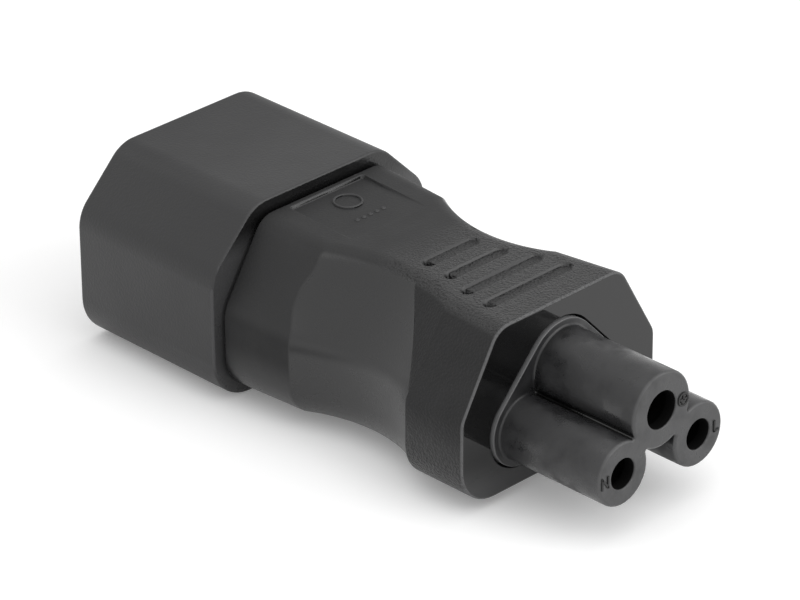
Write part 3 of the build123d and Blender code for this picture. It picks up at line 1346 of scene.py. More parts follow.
@dataclass
class ShroudHalf(Assembly):
    """Hard shroud with its chamber, its floor and the boss that carries the pins."""

    width: float = 28.0
    height: float = 19.4
    bevel: float = 5.7
    wall: float = 1.6
    base_radius: float = 4.6
    bevel_radius: float = 3.8
    outer_edge: float = 0.45
    rim_edge: float = 0.24
    inner_edge: float = 0.2
    floor_fillet: float = 0.3
    boss_width: float = 20.4
    boss_flat: float = 11.0
    boss_height: float = 12.6
    boss_slope: float = 6.0
    boss_corner: float = 1.5
    boss_base: float = 3.3
    blade: Point = (2.0, 4.0)
    slot_clearance: float = 0.05
    collar_margin: float = 0.5
    collar_length: float = 1.2
    finish: MouldedPlastic = ShroudPlastic(
        "shroud_matte", (0.012, 0.012, 0.0125), (0.045, 0.045, 0.047), 0.48, 0.24, 0.016
    )

    def outline(self, inset: float) -> list[Point]:
        """Outline of the shroud.

        Args:
            inset: How far it is drawn in.

        Returns:
            The outline's points.
        """
        bevel = self.bevel - inset * (2 - math.sqrt(2))
        width = self.width - 2 * inset
        radii = (self.base_radius - inset, self.bevel_radius - inset, self.bevel_radius - inset)
        return six_sided(
            width, width - 2 * bevel, inset, self.height - 2 * inset, bevel, radii, 14
        )

    def boss_outline(self, clearance: float = 0.0) -> list[Point]:
        """Outline of the boss, or of its pocket with a clearance."""
        return six_sided(
            self.boss_width + 2 * clearance, self.boss_flat + 2 * clearance,
            self.boss_base - clearance, self.boss_height + 2 * clearance, self.boss_slope,
            (self.boss_corner,) * 3, 6,
        )

    def opening(self, pole: Pole, margin: float) -> list[Point]:
        """Rectangle around a blade.

        Args:
            pole: The blade's pole.
            margin: How far the rectangle stands off the blade.

        Returns:
            The rectangle's corners.
        """
        (x, z), width, height = pole.blade, self.blade[0] / 2 + margin, self.blade[1] / 2 + margin
        return [
            (x - width, z - height), (x + width, z - height),
            (x + width, z + height), (x - width, z + height),
        ]

    def skin(self) -> list[Point]:
        """Profile of the shroud from its floor over the mouth to the rim.

        Returns:
            Pairs of the place along Y and the inset from the outside.
        """
        return [
            *[(PLANES.floor + depth, self.wall + inset)
              for depth, inset in round_over(self.floor_fillet)],
            *[(PLANES.mouth - rise, self.wall - depth)
              for depth, rise in quarter_round(self.inner_edge)],
            *[(PLANES.mouth - depth, inset) for depth, inset in round_over(self.outer_edge)],
            *[(PLANES.rim + depth, inset) for depth, inset in reversed(round_over(self.rim_edge))],
        ]

    def build(self) -> bpy.types.Object:
        """Draw the shroud from its floor over the mouth to the boss.

        Returns:
            The finished piece.
        """
        draft = MeshDraft()
        rings = draft.swept(self.skin(), self.outline)
        seat, slot = self.slot_clearance + self.collar_margin, self.slot_clearance
        seat_floor = PLANES.boss + self.collar_length
        profile = ((PLANES.boss, seat), (seat_floor, seat), (seat_floor, slot), (PLANES.floor, slot))
        tunnels = [draft.swept(profile, lambda size: self.opening(pole, size)) for pole in POLES]
        draft.cap(rings[0], [tunnel[-1] for tunnel in tunnels])
        boss = draft.swept(((PLANES.rim, 0.0), (PLANES.boss, 0.0)), self.boss_outline)
        draft.cap(rings[-1], [boss[0]])
        draft.cap(boss[1], [tunnel[0] for tunnel in tunnels])
        piece = draft.piece("shroud_shell")
        self.dress(piece, self.finish.material(self.groups))
        return self.hand_over(piece, Slot.SHROUD, "c14_shroud")


@dataclass
class GripBody(Assembly):
    """Moulded grip with finger scoops, a panel, four slots and the spaces inside it."""

    shroud: ShroudHalf | None = None
    length: float = 31.3
    base: float = 0.86
    slope: float = 8.1
    rim_width: float = 25.9
    scoop_width: float = 24.7
    front_width: float = 25.4
    rim_flat: float = 15.8
    rear_flat: float = 15.4
    fore_flat: float = 14.2
    front_flat: float = 16.2
    rim_top: float = 18.15
    scoop_top: float = 17.8
    front_top: float = 18.0
    base_radius: float = 4.2
    rim_bevel_radius: float = 4.0
    front_bevel_radius: float = 2.0
    top_radius: float = 2.4
    edge_radius: float = 0.25
    seam_width: float = 0.42
    seam_depth: float = 0.9
    seam_corner: float = 0.06
    lip: float = 0.07
    scoop_start: float = 8.5
    scoop_end: float = 24.0
    scoop_depth: float = 1.95
    scoop_dip: float = 0.12
    shoulder_radius: float = 0.12
    shoulder_gap: float = 0.005
    panel: Point = (9.7, 8.6)
    panel_start: float = 0.9
    panel_floor: float = PANEL_FLOOR
    panel_corner: float = 0.35
    panel_wall: float = 0.16
    panel_walls: tuple[float, float, float] = (0.8, 1.3, 9.8)
    slot_run: Span = (16.2, 28.3)
    slot_first: float = 17.35
    slot_pitch: float = 3.28
    slot_count: int = 4
    slot_width: float = 1.45
    slot_depth: float = 0.21
    slot_margin: float = 1.9
    slot_wall: float = 0.1
    slot_fore_wall: float = 0.16
    slot_rear_wall: float = 0.03
    pit_length: float = 0.35
    pit_wall: Span = (0.08, 0.3)
    pit_depth: float = 0.6
    dent: Point = (5.1, 15.4)
    dent_radius: float = 0.55
    dent_depth: float = 0.12
    dent_stretch: float = 0.6
    recess_reach: float = 0.25
    bulge: float = 0.9
    bulge_low: Span = (9.8, 12.6)
    bulge_high: Span = (13.6, 16.4)
    bulge_run: Span = (3.0, 14.0)
    top_runs: int = 140
    fit: float = 0.1
    flange_margin: float = 0.7
    flange_gap: float = 0.25
    flange_depth: float = 1.5
    crimp_bore: float = 1.55
    wire_bore: float = 1.4
    crease: float = 24.0

    def scoop_inset(self, ahead: float) -> float:
        """Depth of the scoop's arc.

        Args:
            ahead: Distance ahead of the rim.

        Returns:
            The depth.
        """
        half = (self.scoop_end - self.scoop_start) / 2
        radius = (half**2 + self.scoop_depth**2) / (2 * self.scoop_depth)
        off = ahead - (self.scoop_start + self.scoop_end) / 2
        return math.sqrt(radius**2 - off**2) - radius + self.scoop_depth

    def by_zone(self, ahead: float, rear: Span, fore: Span) -> float:
        """Size that changes evenly behind the scoop and again ahead of it.

        Args:
            ahead: Distance ahead of the rim, behind or ahead of the scoop.
            rear: The size at the rim and at the scoop's start.
            fore: The size at the scoop's end and at the front.

        Returns:
            The size there.
        """
        if ahead < self.scoop_start:
            return between(*rear, ahead / self.scoop_start)
        return between(*fore, (ahead - self.scoop_end) / (self.length - self.scoop_end))

    def top(self, ahead: float) -> float:
        """Height of the grip's top.

        Args:
            ahead: Distance ahead of the rim.

        Returns:
            The height.
        """
        if self.scoop_start <= ahead <= self.scoop_end:
            return self.scoop_top - self.scoop_dip * self.scoop_inset(ahead) / self.scoop_depth
        rear, fore = (self.rim_top, self.scoop_top), (self.scoop_top, self.front_top)
        return self.by_zone(ahead, rear, fore)

    def flat(self, ahead: float) -> float:
        """Width of the grip's flat top.

        Args:
            ahead: Distance ahead of the rim.

        Returns:
            The width.
        """
        if self.scoop_start <= ahead <= self.scoop_end:
            share = (ahead - self.scoop_start) / (self.scoop_end - self.scoop_start)
            return between(self.rear_flat, self.fore_flat, share) - 2 * self.scoop_inset(ahead)
        rear, fore = (self.rim_flat, self.rear_flat), (self.fore_flat, self.front_flat)
        return self.by_zone(ahead, rear, fore)

    def width(self, ahead: float) -> float:
        """Width of the grip.

        Args:
            ahead: Distance ahead of the rim.

        Returns:
            The width.
        """
        if self.scoop_start <= ahead <= self.scoop_end:
            return self.scoop_width - 2 * self.scoop_inset(ahead)
        rear, fore = (self.rim_width, self.scoop_width), (self.front_width, self.front_width)
        return self.by_zone(ahead, rear, fore)

    def panel_depth(self, x: float, ahead: float) -> float:
        """Depth of the panel below the top.

        Args:
            x: Place across the grip.
            ahead: Distance ahead of the rim.

        Returns:
            The depth, 0 outside the panel.
        """
        half_width, half_length = self.panel[0] / 2, self.panel[1] / 2
        aside = abs(x) - half_width + self.panel_corner
        along = abs(ahead - self.panel_start - half_length) - half_length + self.panel_corner
        outside = math.hypot(max(aside, 0.0), max(along, 0.0)) + min(max(aside, along), 0.0)
        wall = soft_step(0.0, self.panel_wall, self.panel_corner - outside)
        return (self.top(ahead) - self.panel_floor) * wall

    def slot_recess(self, x: float, ahead: float, middle: float) -> float:
        """Depth of one slot, with the small pit at its left end.

        Args:
            x: Place across the grip.
            ahead: Distance ahead of the rim.
            middle: Where the slot's middle lies ahead of the rim.

        Returns:
            The depth, 0 outside the slot.
        """
        radius = self.slot_width / 2
        run = self.flat(middle) / 2 - self.slot_margin - radius
        inside = radius - math.hypot(max(abs(x) - run, 0.0), ahead - middle)
        pit = self.pit_depth * soft_step(run - self.pit_length, run, -x)
        floor = self.slot_depth + pit * soft_step(*self.pit_wall, inside)
        edge = self.slot_fore_wall if ahead > middle else self.slot_rear_wall
        return floor * soft_step(-edge, self.slot_wall, inside)

    def recess(self, x: float, ahead: float) -> float:
        """Depth of the panel, of a slot or of a dent below the top.

        Args:
            x: Place across the grip.
            ahead: Distance ahead of the rim.

        Returns:
            The depth, 0 outside them.
        """
        slots = [
            self.slot_recess(x, ahead, self.slot_first + number * self.slot_pitch)
            for number in range(self.slot_count)
        ]
        off = math.hypot(abs(x) - self.dent[0], (ahead - self.dent[1]) * self.dent_stretch)
        dent = self.dent_depth * soft_step(self.dent_radius, 0.0, off)
        return max(self.panel_depth(x, ahead), *slots, dent, 0.0)

    def shift(self, ahead: float, z: float) -> float:
        """How far the scoop's rear edge bulges towards the shroud on the sloping shoulder.

        Args:
            ahead: Distance ahead of the rim.
            z: Height.

        Returns:
            The shift along +Y.
        """
        height = soft_step(*self.bulge_low, z) - soft_step(*self.bulge_high, z)
        rear, fore = self.bulge_run
        near = soft_step(rear, self.scoop_start, ahead) - soft_step(self.scoop_start, fore, ahead)
        return self.bulge * height * near

    def stations(self) -> list[Point]:
        """Places at which the grip's section is drawn.

        Returns:
            Pairs of the distance ahead of the rim and the section's inset.
        """
        seam, depth = self.seam_width, self.seam_depth
        found = [(0.0, depth), (seam - self.seam_corner, depth), (seam, depth - self.seam_corner)]
        found += [(seam + below, inset) for below, inset in round_over(self.lip, 4)[1:]]
        rear_wall, rear_floor, fore_wall = self.panel_walls
        stops = (
            (rear_wall, 2), (rear_floor, 7), (self.scoop_start, 24), (fore_wall, 10),
            (self.slot_run[0], 26), (self.scoop_end, 70),
        )
        start = seam + self.lip
        for stop, steps in stops:
            found += [(ahead, 0.0) for ahead in divided(start, stop, steps)[1:]]
            start = stop
        shoulder = self.scoop_end + self.shoulder_gap
        step_out = (self.front_width - self.scoop_width) / 2
        found.append((shoulder, step_out - self.shoulder_radius))
        found += [
            (shoulder + below, inset) for below, inset in round_over(self.shoulder_radius, 4)[2:]
        ]
        start = shoulder + self.shoulder_radius
        for stop, steps in ((self.slot_run[1], 38), (self.length - self.edge_radius, 10)):
            found += [(ahead, 0.0) for ahead in divided(start, stop, steps)[1:]]
            start = stop
        front = list(reversed(round_over(self.edge_radius, 6)))[1:]
        return found + [(self.length - below, inset) for below, inset in front]

    def section(self, ahead: float, inset: float) -> list[Point]:
        """Section of the grip, with the recesses pressed into its top.

        Args:
            ahead: Distance ahead of the rim.
            inset: How far the section is drawn in.

        Returns:
            The section's points.
        """
        bevel_radius = between(
            self.rim_bevel_radius, self.front_bevel_radius, min(ahead / self.scoop_end, 1.0)
        )
        side_only = self.scoop_end < ahead < self.scoop_end + 2 * self.shoulder_radius
        all_round = 0.0 if side_only else inset
        outline = six_sided(
            self.width(ahead) - 2 * inset, self.flat(ahead) - 2 * all_round,
            self.base + all_round, self.top(ahead) - self.base - 2 * all_round,
            self.slope - all_round,
            (self.base_radius - all_round, bevel_radius, self.top_radius), 10,
            (8, 10, 12, self.top_runs, 12, 10),
        )
        limit = self.top(ahead) - all_round - self.recess_reach
        return [(x, z - self.recess(x, ahead) if z > limit else z) for x, z in outline]

    def build(self) -> bpy.types.Object:
        """Draw the grip's skin, its two pockets and the tunnels between them.

        Returns:
            The finished piece.
        """
        draft = MeshDraft()
        rings = [
            draft.add(
                (x, PLANES.rim - ahead + self.shift(ahead, z), z)
                for x, z in self.section(ahead, inset)
            )
            for ahead, inset in self.stations()
        ]
        draft.loft(rings)
        boss_floor, nose_floor = PLANES.pin_plate - self.fit, PLANES.contact_plate + self.fit
        boss = draft.swept(
            ((PLANES.rim, self.fit), (boss_floor, self.fit)), self.shroud.boss_outline
        )
        draft.cap(rings[0], [boss[0]])
        flange, flange_floor = self.flange_margin + self.flange_gap, self.flange_depth + self.fit
        nose = draft.swept((
            (PLANES.front, flange), (PLANES.front + flange_floor, flange),
            (PLANES.front + flange_floor, self.fit), (nose_floor, self.fit),
        ), taut_outline)
        draft.cap(rings[-1], [nose[0]])
        tunnels = []
        for pole in POLES:
            rear, fore = circle(pole.blade, self.crimp_bore), circle(pole.socket, self.crimp_bore)
            tunnels.append([
                draft.across(boss_floor, rear), draft.across(PLANES.pin_crimp_end, rear),
                *tube_rings(draft, pole.wire_route(), self.wire_bore),
                draft.across(PLANES.contact_crimp_end, fore), draft.across(nose_floor, fore),
            ])
            draft.loft(tunnels[-1])
        draft.cap(boss[1], [tunnel[0] for tunnel in tunnels])
        draft.cap(nose[-1], [tunnel[-1] for tunnel in tunnels])
        piece = draft.piece("grip_moulding", self.crease)
        finish = GripVinyl(
            "grip_vinyl", PLANES.rim, PLANES.front, self.scoop_start, self.scoop_end,
            self.bulge, self.bulge_low, self.bulge_high,
        )
        self.dress(piece, finish.material(self.groups))
        return self.hand_over(piece, Slot.GRIP, "grip_body")


@dataclass(frozen=True)
class TerminalMark:
    """Generic mark beside a hole: straight strokes around a centre, and a ring for the earth."""

    name: str
    centre: Point
    strokes: tuple[Stroke, ...]
    ring_radius: float = 0.0


MARKS = (
    TerminalMark("mark_neutral", (-7.35, 6.9), (
        ((-0.38, -0.5), (-0.38, 0.5)), ((-0.38, 0.5), (0.38, -0.5)), ((0.38, -0.5), (0.38, 0.5)),
    )),
    TerminalMark("mark_line", (7.3, 6.9), (
        ((-0.22, 0.5), (-0.22, -0.5)), ((-0.22, -0.5), (0.3, -0.5)),
    )),
    TerminalMark("mark_earth", (2.78, 11.42), (
        ((0.0, 0.42), (0.0, 0.02)), ((-0.36, 0.02), (0.36, 0.02)),
        ((-0.22, -0.16), (0.22, -0.16)), ((-0.09, -0.34), (0.09, -0.34)),
    ), 0.6),
)


@dataclass
class NoseInsert(Assembly):
    """Hard insert with three socket barrels, its flange and its body inside the grip."""

    neck: float = 0.15
    tip_edge: float = 0.3
    tip_recess: float = 0.14
    root_fillet: float = 0.22
    flange_margin: float = 0.7
    flange_proud: float = 0.3
    flange_edge: float = 0.1
    flange_depth: float = 1.5
    sleeve_clearance: float = 0.1
    collar_length: float = 1.2
    hole_flare: float = 0.14
    stroke_half: float = 0.1
    mark_root: float = 0.03
    mark_height: float = 0.13
    mark_edge: float = 0.025
    mark_steps: int = 40
    crease: float = 30.0
    # Painted shade inside the holes and sleeve spaces: near-black, dull plastic.
    bore_shade_finish: MouldedPlastic = MouldedPlastic(
        "insert_bore_shade", (0.002, 0.002, 0.002), (0.004, 0.004, 0.004), 0.7, 0.2, 0.004,
        patch_mm=3.0, unevenness=0.1, gloss_level=0.1,
    )
    finish: MouldedPlastic = NosePlastic(
        "insert_satin", (0.006, 0.006, 0.0063), (0.12, 0.12, 0.122), 0.4, 0.2, 0.006,
        patch_mm=2.2, unevenness=1.4, contrast=3.6,
    )
    mark_finish: MouldedPlastic = MouldedPlastic(
        "mark_satin", (0.005, 0.005, 0.005), (0.01, 0.01, 0.01), 0.62, 0.2, 0.004
    )

    def nose(self, tip: float, face: float) -> list[Point]:
        """Profile of the barrels from the tip to the flange.

        Args:
            tip: Where the face at the tip lies.
            face: Where the flange's face lies.

        Returns:
            Pairs of the place along Y and the inset from the barrels.
        """
        fillet = quarter_round(self.root_fillet)
        return [
            *[(tip + depth, inset) for depth, inset in round_over(self.tip_edge)],
            *[(y, 0.0) for y in divided(tip, face, 4)[1:-1]],
            *[(face - rise, -inset) for inset, rise in fillet],
            (face, -self.root_fillet - LAND),
        ]

    def bore(self, draft: MeshDraft, pole: Pole, tip: float) -> tuple[Ring, Ring]:
        """Draw a socket's hole and the space for its spring sleeve.

        Args:
            draft: Draft that gets the hole.
            pole: The socket's pole.
            tip: Where the face at the tip lies.

        Returns:
            The hole's rings in the face at the tip and in the insert's rear face.
        """
        cavity = pole.sleeve_radius + self.sleeve_clearance
        seat = pole.collar_radius + self.sleeve_clearance
        collar = PLANES.insert - self.collar_length
        flare = round_over(self.hole_flare, 4)
        profile = [
            *[(tip + depth, pole.hole_radius + inset) for depth, inset in flare],
            (PLANES.hole_end, pole.hole_radius), (PLANES.hole_end, cavity),
            (collar, cavity), (collar, seat), (PLANES.insert, seat),
        ]
        rings = [draft.across(y, circle(pole.socket, radius)) for y, radius in profile]
        draft.loft(rings[:len(flare)])
        outside = len(draft.faces)
        draft.loft(rings[len(flare) - 1:])
        draft.inner.update(range(outside, len(draft.faces)))
        return rings[0], rings[-1]

    def build(self) -> bpy.types.Object:
        """Draw the insert from the tip over the flange to its rear face.

        Returns:
            The finished piece.
        """
        draft = MeshDraft()
        tip, face = PLANES.tip + self.tip_recess, PLANES.front - self.flange_proud
        floor = PLANES.front + self.flange_depth
        barrels = draft.swept(self.nose(tip, face), lambda inset: nose_outline(inset, self.neck))
        flange = draft.swept([
            *[(face + depth, self.flange_margin - inset)
              for depth, inset in round_over(self.flange_edge)],
            (floor, self.flange_margin), (floor, 0.0), (PLANES.insert, 0.0),
        ], taut_outline)
        draft.cap(flange[0], [barrels[-1]])
        bores = [self.bore(draft, pole, tip) for pole in POLES]
        draft.cap(barrels[0], [front for front, _ in bores])
        draft.cap(flange[-1], [rear for _, rear in bores])
        piece = draft.piece("socket_insert", self.crease)
        # The second finish paints shade into the holes.
        finishes = self.finish.material(self.groups), self.bore_shade_finish.material(self.groups)
        self.dress(piece, *finishes)
        return self.hand_over(piece, Slot.INSERT, "c5_insert")

    def stroke(self, draft: MeshDraft, profile: list[Point], one: Vector, two: Vector) -> None:
        """Raise a straight stroke.

        Args:
            draft: Draft that gets the stroke.
            profile: Pairs of the place along Y and the inset from the stroke's side.
            one: Where the stroke starts.
            two: Where the stroke ends.
        """
        along = (two - one).normalized()
        aside = Vector((-along.y, along.x))
        layers = []
        for y, inset in profile:
            reach, spread = along * (self.stroke_half - inset), aside * (self.stroke_half - inset)
            corners = (
                one - reach - spread, two + reach - spread,
                two + reach + spread, one - reach + spread,
            )
            layers.append(draft.across(y, [tuple(corner) for corner in corners]))
        draft.loft(layers)
        draft.cap(layers[0])
        draft.cap(layers[-1])

    def build_mark(self, mark: TerminalMark) -> None:
        """Raise a terminal mark on the face at the tip.

        Args:
            mark: The mark.
        """
        draft = MeshDraft()
        face, (x, z) = PLANES.tip + self.tip_recess, mark.centre
        profile = [
            (face + self.mark_root, 0.0), (face - self.mark_height + self.mark_edge, 0.0),
            (face - self.mark_height, self.mark_edge),
        ]
        for start, end in mark.strokes:
            one, two = Vector((x + start[0], z + start[1])), Vector((x + end[0], z + end[1]))
            self.stroke(draft, profile, one, two)
        if mark.ring_radius:
            outer, inner = mark.ring_radius + self.stroke_half, mark.ring_radius - self.stroke_half
            section = [(y, outer - inset) for y, inset in profile]
            section += [(y, inner + inset) for y, inset in reversed(profile)]
            loops = draft.swept(section, lambda size: circle(mark.centre, size, self.mark_steps))
            draft.join(loops[-1], loops[0])
        piece = draft.piece(mark.name)
        self.dress(piece, self.mark_finish.material(self.groups))
        self.hand_over(piece, Slot.INSERT)


def grown(
    name: str, source: bpy.types.Object, tree: bpy.types.GeometryNodeTree,
    values: dict[str, object], crease: float = 40.0,
) -> bpy.types.Object:
    """Evaluate a tree on a source object, keep its mesh and remove the source.

    Args:
        name: Name of the piece.
        source: Object that the tree starts from.
        tree: The tree.
        values: Values of the tree's inputs, by name.
        crease: Angle in degrees above which an edge stays crisp.

    Returns:
        The finished piece.
    """
    modifier = source.modifiers.new("grow", "NODES")
    modifier.node_group = tree
    for item in tree.interface.items_tree:
        if item.item_type == "SOCKET" and item.in_out == "INPUT" and item.name in values:
            modifier[item.identifier] = values[item.name]
    bpy.context.view_layer.update()
    seen = source.evaluated_get(bpy.context.evaluated_depsgraph_get())
    mesh = bpy.data.meshes.new_from_object(seen)
    mesh.name = name
    source.modifiers.remove(modifier)
    bpy.data.objects.remove(source)
    return finished_piece(mesh, name, crease)


def grown_from_route(
    name: str, route: Sequence[Vector], tree: bpy.types.GeometryNodeTree, values: dict[str, object]
) -> bpy.types.Object:
    """Run a Geometry Nodes tree on a route and keep the result as a plain mesh.

    Args:
        name: Name of the piece.
        route: Points of the route in millimetres.
        tree: The tree.
        values: Values of the tree's inputs, by name.

    Returns:
        The finished piece.
    """
    curve = bpy.data.curves.new(name + "_route", "CURVE")
    curve.dimensions = "3D"
    spline = curve.splines.new("POLY")
    spline.points.add(len(route) - 1)
    for point, place in zip(spline.points, route):
        point.co = (*(place * MM), 1.0)
    return grown(name, new_object(name + "_route", curve), tree, values)


@dataclass
class Conductors(Assembly):
    """Blades, spring contacts, retainers and jumpers that stay as their CAD solids or strands."""

    strand_count: int = 6
    strand_runs: int = 64
    strand_sides: int = 10
    core_radius: float = 0.7
    crimp_depth: float = 3.0
    lay_length: float = 4.5
    brown: WireVinyl = WireVinyl("brown_insulation", (0.2, 0.09, 0.04))
    blue: WireVinyl = WireVinyl("blue_insulation", (0.03, 0.17, 0.5))
    striped: WireVinyl = WireVinyl("striped_insulation", (0.1, 0.36, 0.06), (0.8, 0.62, 0.05))
    nickel: BareMetal = BareMetal("nickel_plate", (0.72, 0.71, 0.68), (0.6, 0.58, 0.54), 0.26)
    brass: BareMetal = BareMetal("spring_brass", (0.76, 0.6, 0.28), (0.6, 0.44, 0.2), 0.3)
    copper: BareMetal = BareMetal(
        "copper_strand", (0.85, 0.46, 0.3), (0.6, 0.3, 0.18), 0.34, 1.5, 0.08
    )
    nylon: MouldedPlastic = MouldedPlastic(
        "natural_nylon", (0.6, 0.59, 0.55), (0.75, 0.74, 0.7), 0.42, 0.3, 0.01
    )

    def dress_nodes(self) -> None:
        """Give the solids that stay their finishes."""
        nickel = self.nickel.material(self.groups)
        brass = self.brass.material(self.groups)
        nylon = self.nylon.material(self.groups)
        vinyls = {"line": self.brown, "neutral": self.blue, "earth": self.striped}
        for pole in POLES:
            self.dress_node(f"{pole.name}_pin", nickel)
            self.dress_node(f"{pole.name}_contact", brass)
            self.dress_node(f"{pole.name}_insulation", vinyls[pole.name].material(self.groups))
        self.dress_node("pin_retainer", nylon)
        self.dress_node("contact_retainer", nylon)

    def strand_tree(self, material: bpy.types.Material) -> bpy.types.GeometryNodeTree:
        """Build the tree that lays strands around a core along a route.

        Args:
            material: Finish of the strands.

        Returns:
            The tree, with the strands' number, radius, distance from the core and turns as inputs.
        """
        sizes = dict.fromkeys(("Strand Radius", "Circle Radius", "Turns"), Socket.NUMBER)
        sheet = new_tree("laid_strands", {"Strands": Socket.COUNT, **sizes})
        strands = sheet.given("Strands")
        route = sheet.value(
            0, "GeometryNodeResampleCurve",
            {"Curve": sheet.given("Geometry"), "Count": self.strand_runs},
        )
        copies = sheet.add(
            "GeometryNodeDuplicateElements", {"Geometry": route, "Amount": strands}, domain="SPLINE"
        )
        number = Value(sheet, copies.outputs["Duplicate Index"])
        along = sheet.value("Factor", "GeometryNodeSplineParameter")
        turned = sheet.math("DIVIDE", number, strands) + along * sheet.given("Turns")
        angle = turned * (2 * math.pi)
        tangent = sheet.value(0, "GeometryNodeInputTangent")
        sideways = sheet.value(
            0, "ShaderNodeCombineXYZ", {0: sheet.math("COSINE", angle), 2: sheet.math("SINE", angle)}
        )
        share = sheet.vector("DOT_PRODUCT", {0: sideways, 1: tangent}, "Value")
        lean = sheet.vector("SCALE", {0: tangent, "Scale": share})
        upright = sheet.vector("SUBTRACT", {0: sideways, 1: lean})
        offset = sheet.vector("SCALE", {0: upright, "Scale": sheet.given("Circle Radius")})
        laid = sheet.value(
            0, "GeometryNodeSetPosition",
            {"Geometry": Value(sheet, copies.outputs[0]), "Offset": offset},
        )
        together = sheet.add("GeometryNodeJoinGeometry", {0: laid})
        sheet.fill(together, {0: route})
        round_wire = sheet.value(
            0, "GeometryNodeCurvePrimitiveCircle",
            {"Resolution": self.strand_sides, "Radius": sheet.given("Strand Radius")},
        )
        solid = sheet.value(
            0, "GeometryNodeCurveToMesh",
            {"Curve": Value(sheet, together.outputs[0]), "Profile Curve": round_wire,
             "Fill Caps": True},
        )
        sheet.give_mesh(solid, material)
        return sheet.tree

    def build_jumpers(self) -> None:
        """Lay each jumper's strands along its route between the crimps."""
        tree = self.strand_tree(self.copper.material(self.groups))
        strand, back = self.core_radius / 3, Vector((0, self.crimp_depth, 0))
        for pole in POLES:
            bends = [place for place, _ in pole.wire_route()]
            route = [bends[0] + back, *bends, bends[-1] - back]
            run = sum((two - one).length for one, two in zip(route, route[1:]))
            piece = grown_from_route(
                f"{pole.name}_strands", route, tree,
                {"Strands": self.strand_count, "Strand Radius": strand * MM,
                 "Circle Radius": 2 * strand * MM, "Turns": run / self.lay_length},
            )
            self.hand_over(piece, Slot.COPPER, f"{pole.name}_wire")


@dataclass
class PanelRelief(Assembly):
    """Plain raised ring and a row of small domes on the grip's panel."""

    floor: float = PANEL_FLOOR
    ring_centre: Point = (0.3, 9.0)
    ring_radius: float = 1.35
    ring_width: float = 0.22
    ring_height: float = 0.18
    ring_root: float = 0.06
    ring_shoulder: float = 0.6
    ring_steps: int = 56
    dome_radius: float = 0.26
    dome_height: float = 0.13
    dome_count: int = 5
    dome_pitch: float = 0.85
    dome_mesh: tuple[int, int] = (20, 12)
    row_centre: Point = (0.0, 5.7)

    def build_ring(self, material: bpy.types.Material) -> None:
        """Raise the ring.

        Args:
            material: Finish of the grip.
        """
        draft = MeshDraft()
        half, rise = self.ring_width / 2, self.ring_height
        outer = [(half, -self.ring_root), (half, rise * self.ring_shoulder), (half / 2, rise)]
        profile = outer + [(-off, height) for off, height in reversed(outer)]
        loops = [
            draft.add(
                (x, y, self.floor + height)
                for x, y in circle(self.ring_centre, self.ring_radius + off, self.ring_steps)
            )
            for off, height in profile
        ]
        draft.loft(loops + loops[:1])
        ring = draft.piece("panel_ring")
        self.dress(ring, material)
        self.hand_over(ring, Slot.GRIP)

    def build_domes(self, material: bpy.types.Material) -> None:
        """Raise the row of domes.

        Args:
            material: Finish of the grip.
        """
        source = new_object("dome_source", bpy.data.meshes.new("dome_source"))
        start = self.row_centre[0] - (self.dome_count - 1) * self.dome_pitch / 2
        domes = grown("panel_domes", source, self.dome_tree(material), {
            "Count": self.dome_count, "Pitch": self.dome_pitch * MM,
            "Radius": self.dome_radius * MM, "Rise": self.dome_height / self.dome_radius,
            "Start": (start * MM, self.row_centre[1] * MM, self.floor * MM),
        })
        self.hand_over(domes, Slot.GRIP)

    def dome_tree(self, material: bpy.types.Material) -> bpy.types.GeometryNodeTree:
        """Build the tree that lays out a row of flattened domes.

        Args:
            material: Finish of the domes.

        Returns:
            The tree, with the row's count, pitch, radius, rise and start as inputs.
        """
        sizes = dict.fromkeys(("Pitch", "Radius", "Rise"), Socket.NUMBER)
        sheet = new_tree("dome_row", {"Count": Socket.COUNT, **sizes, "Start": Socket.PLACE})
        step = sheet.value(0, "ShaderNodeCombineXYZ", {0: sheet.given("Pitch")})
        row = sheet.value(0, "GeometryNodeMeshLine", {
            "Count": sheet.given("Count"), "Start Location": sheet.given("Start"), "Offset": step,
        })
        segments, rings = self.dome_mesh
        dome = sheet.value(0, "GeometryNodeMeshUVSphere", {
            "Segments": segments, "Rings": rings, "Radius": sheet.given("Radius"),
        })
        squat = sheet.value(0, "ShaderNodeCombineXYZ", {0: 1.0, 1: 1.0, 2: sheet.given("Rise")})
        placed = sheet.value(
            0, "GeometryNodeInstanceOnPoints", {"Points": row, "Instance": dome, "Scale": squat}
        )
        sheet.give_mesh(placed, material)
        return sheet.tree


@dataclass(frozen=True)
class Lamp:
    """Soft square lamp: its name, its place and edge in metres and its power in watts."""

    name: str
    place: tuple[float, float, float]
    size: float
    power: float


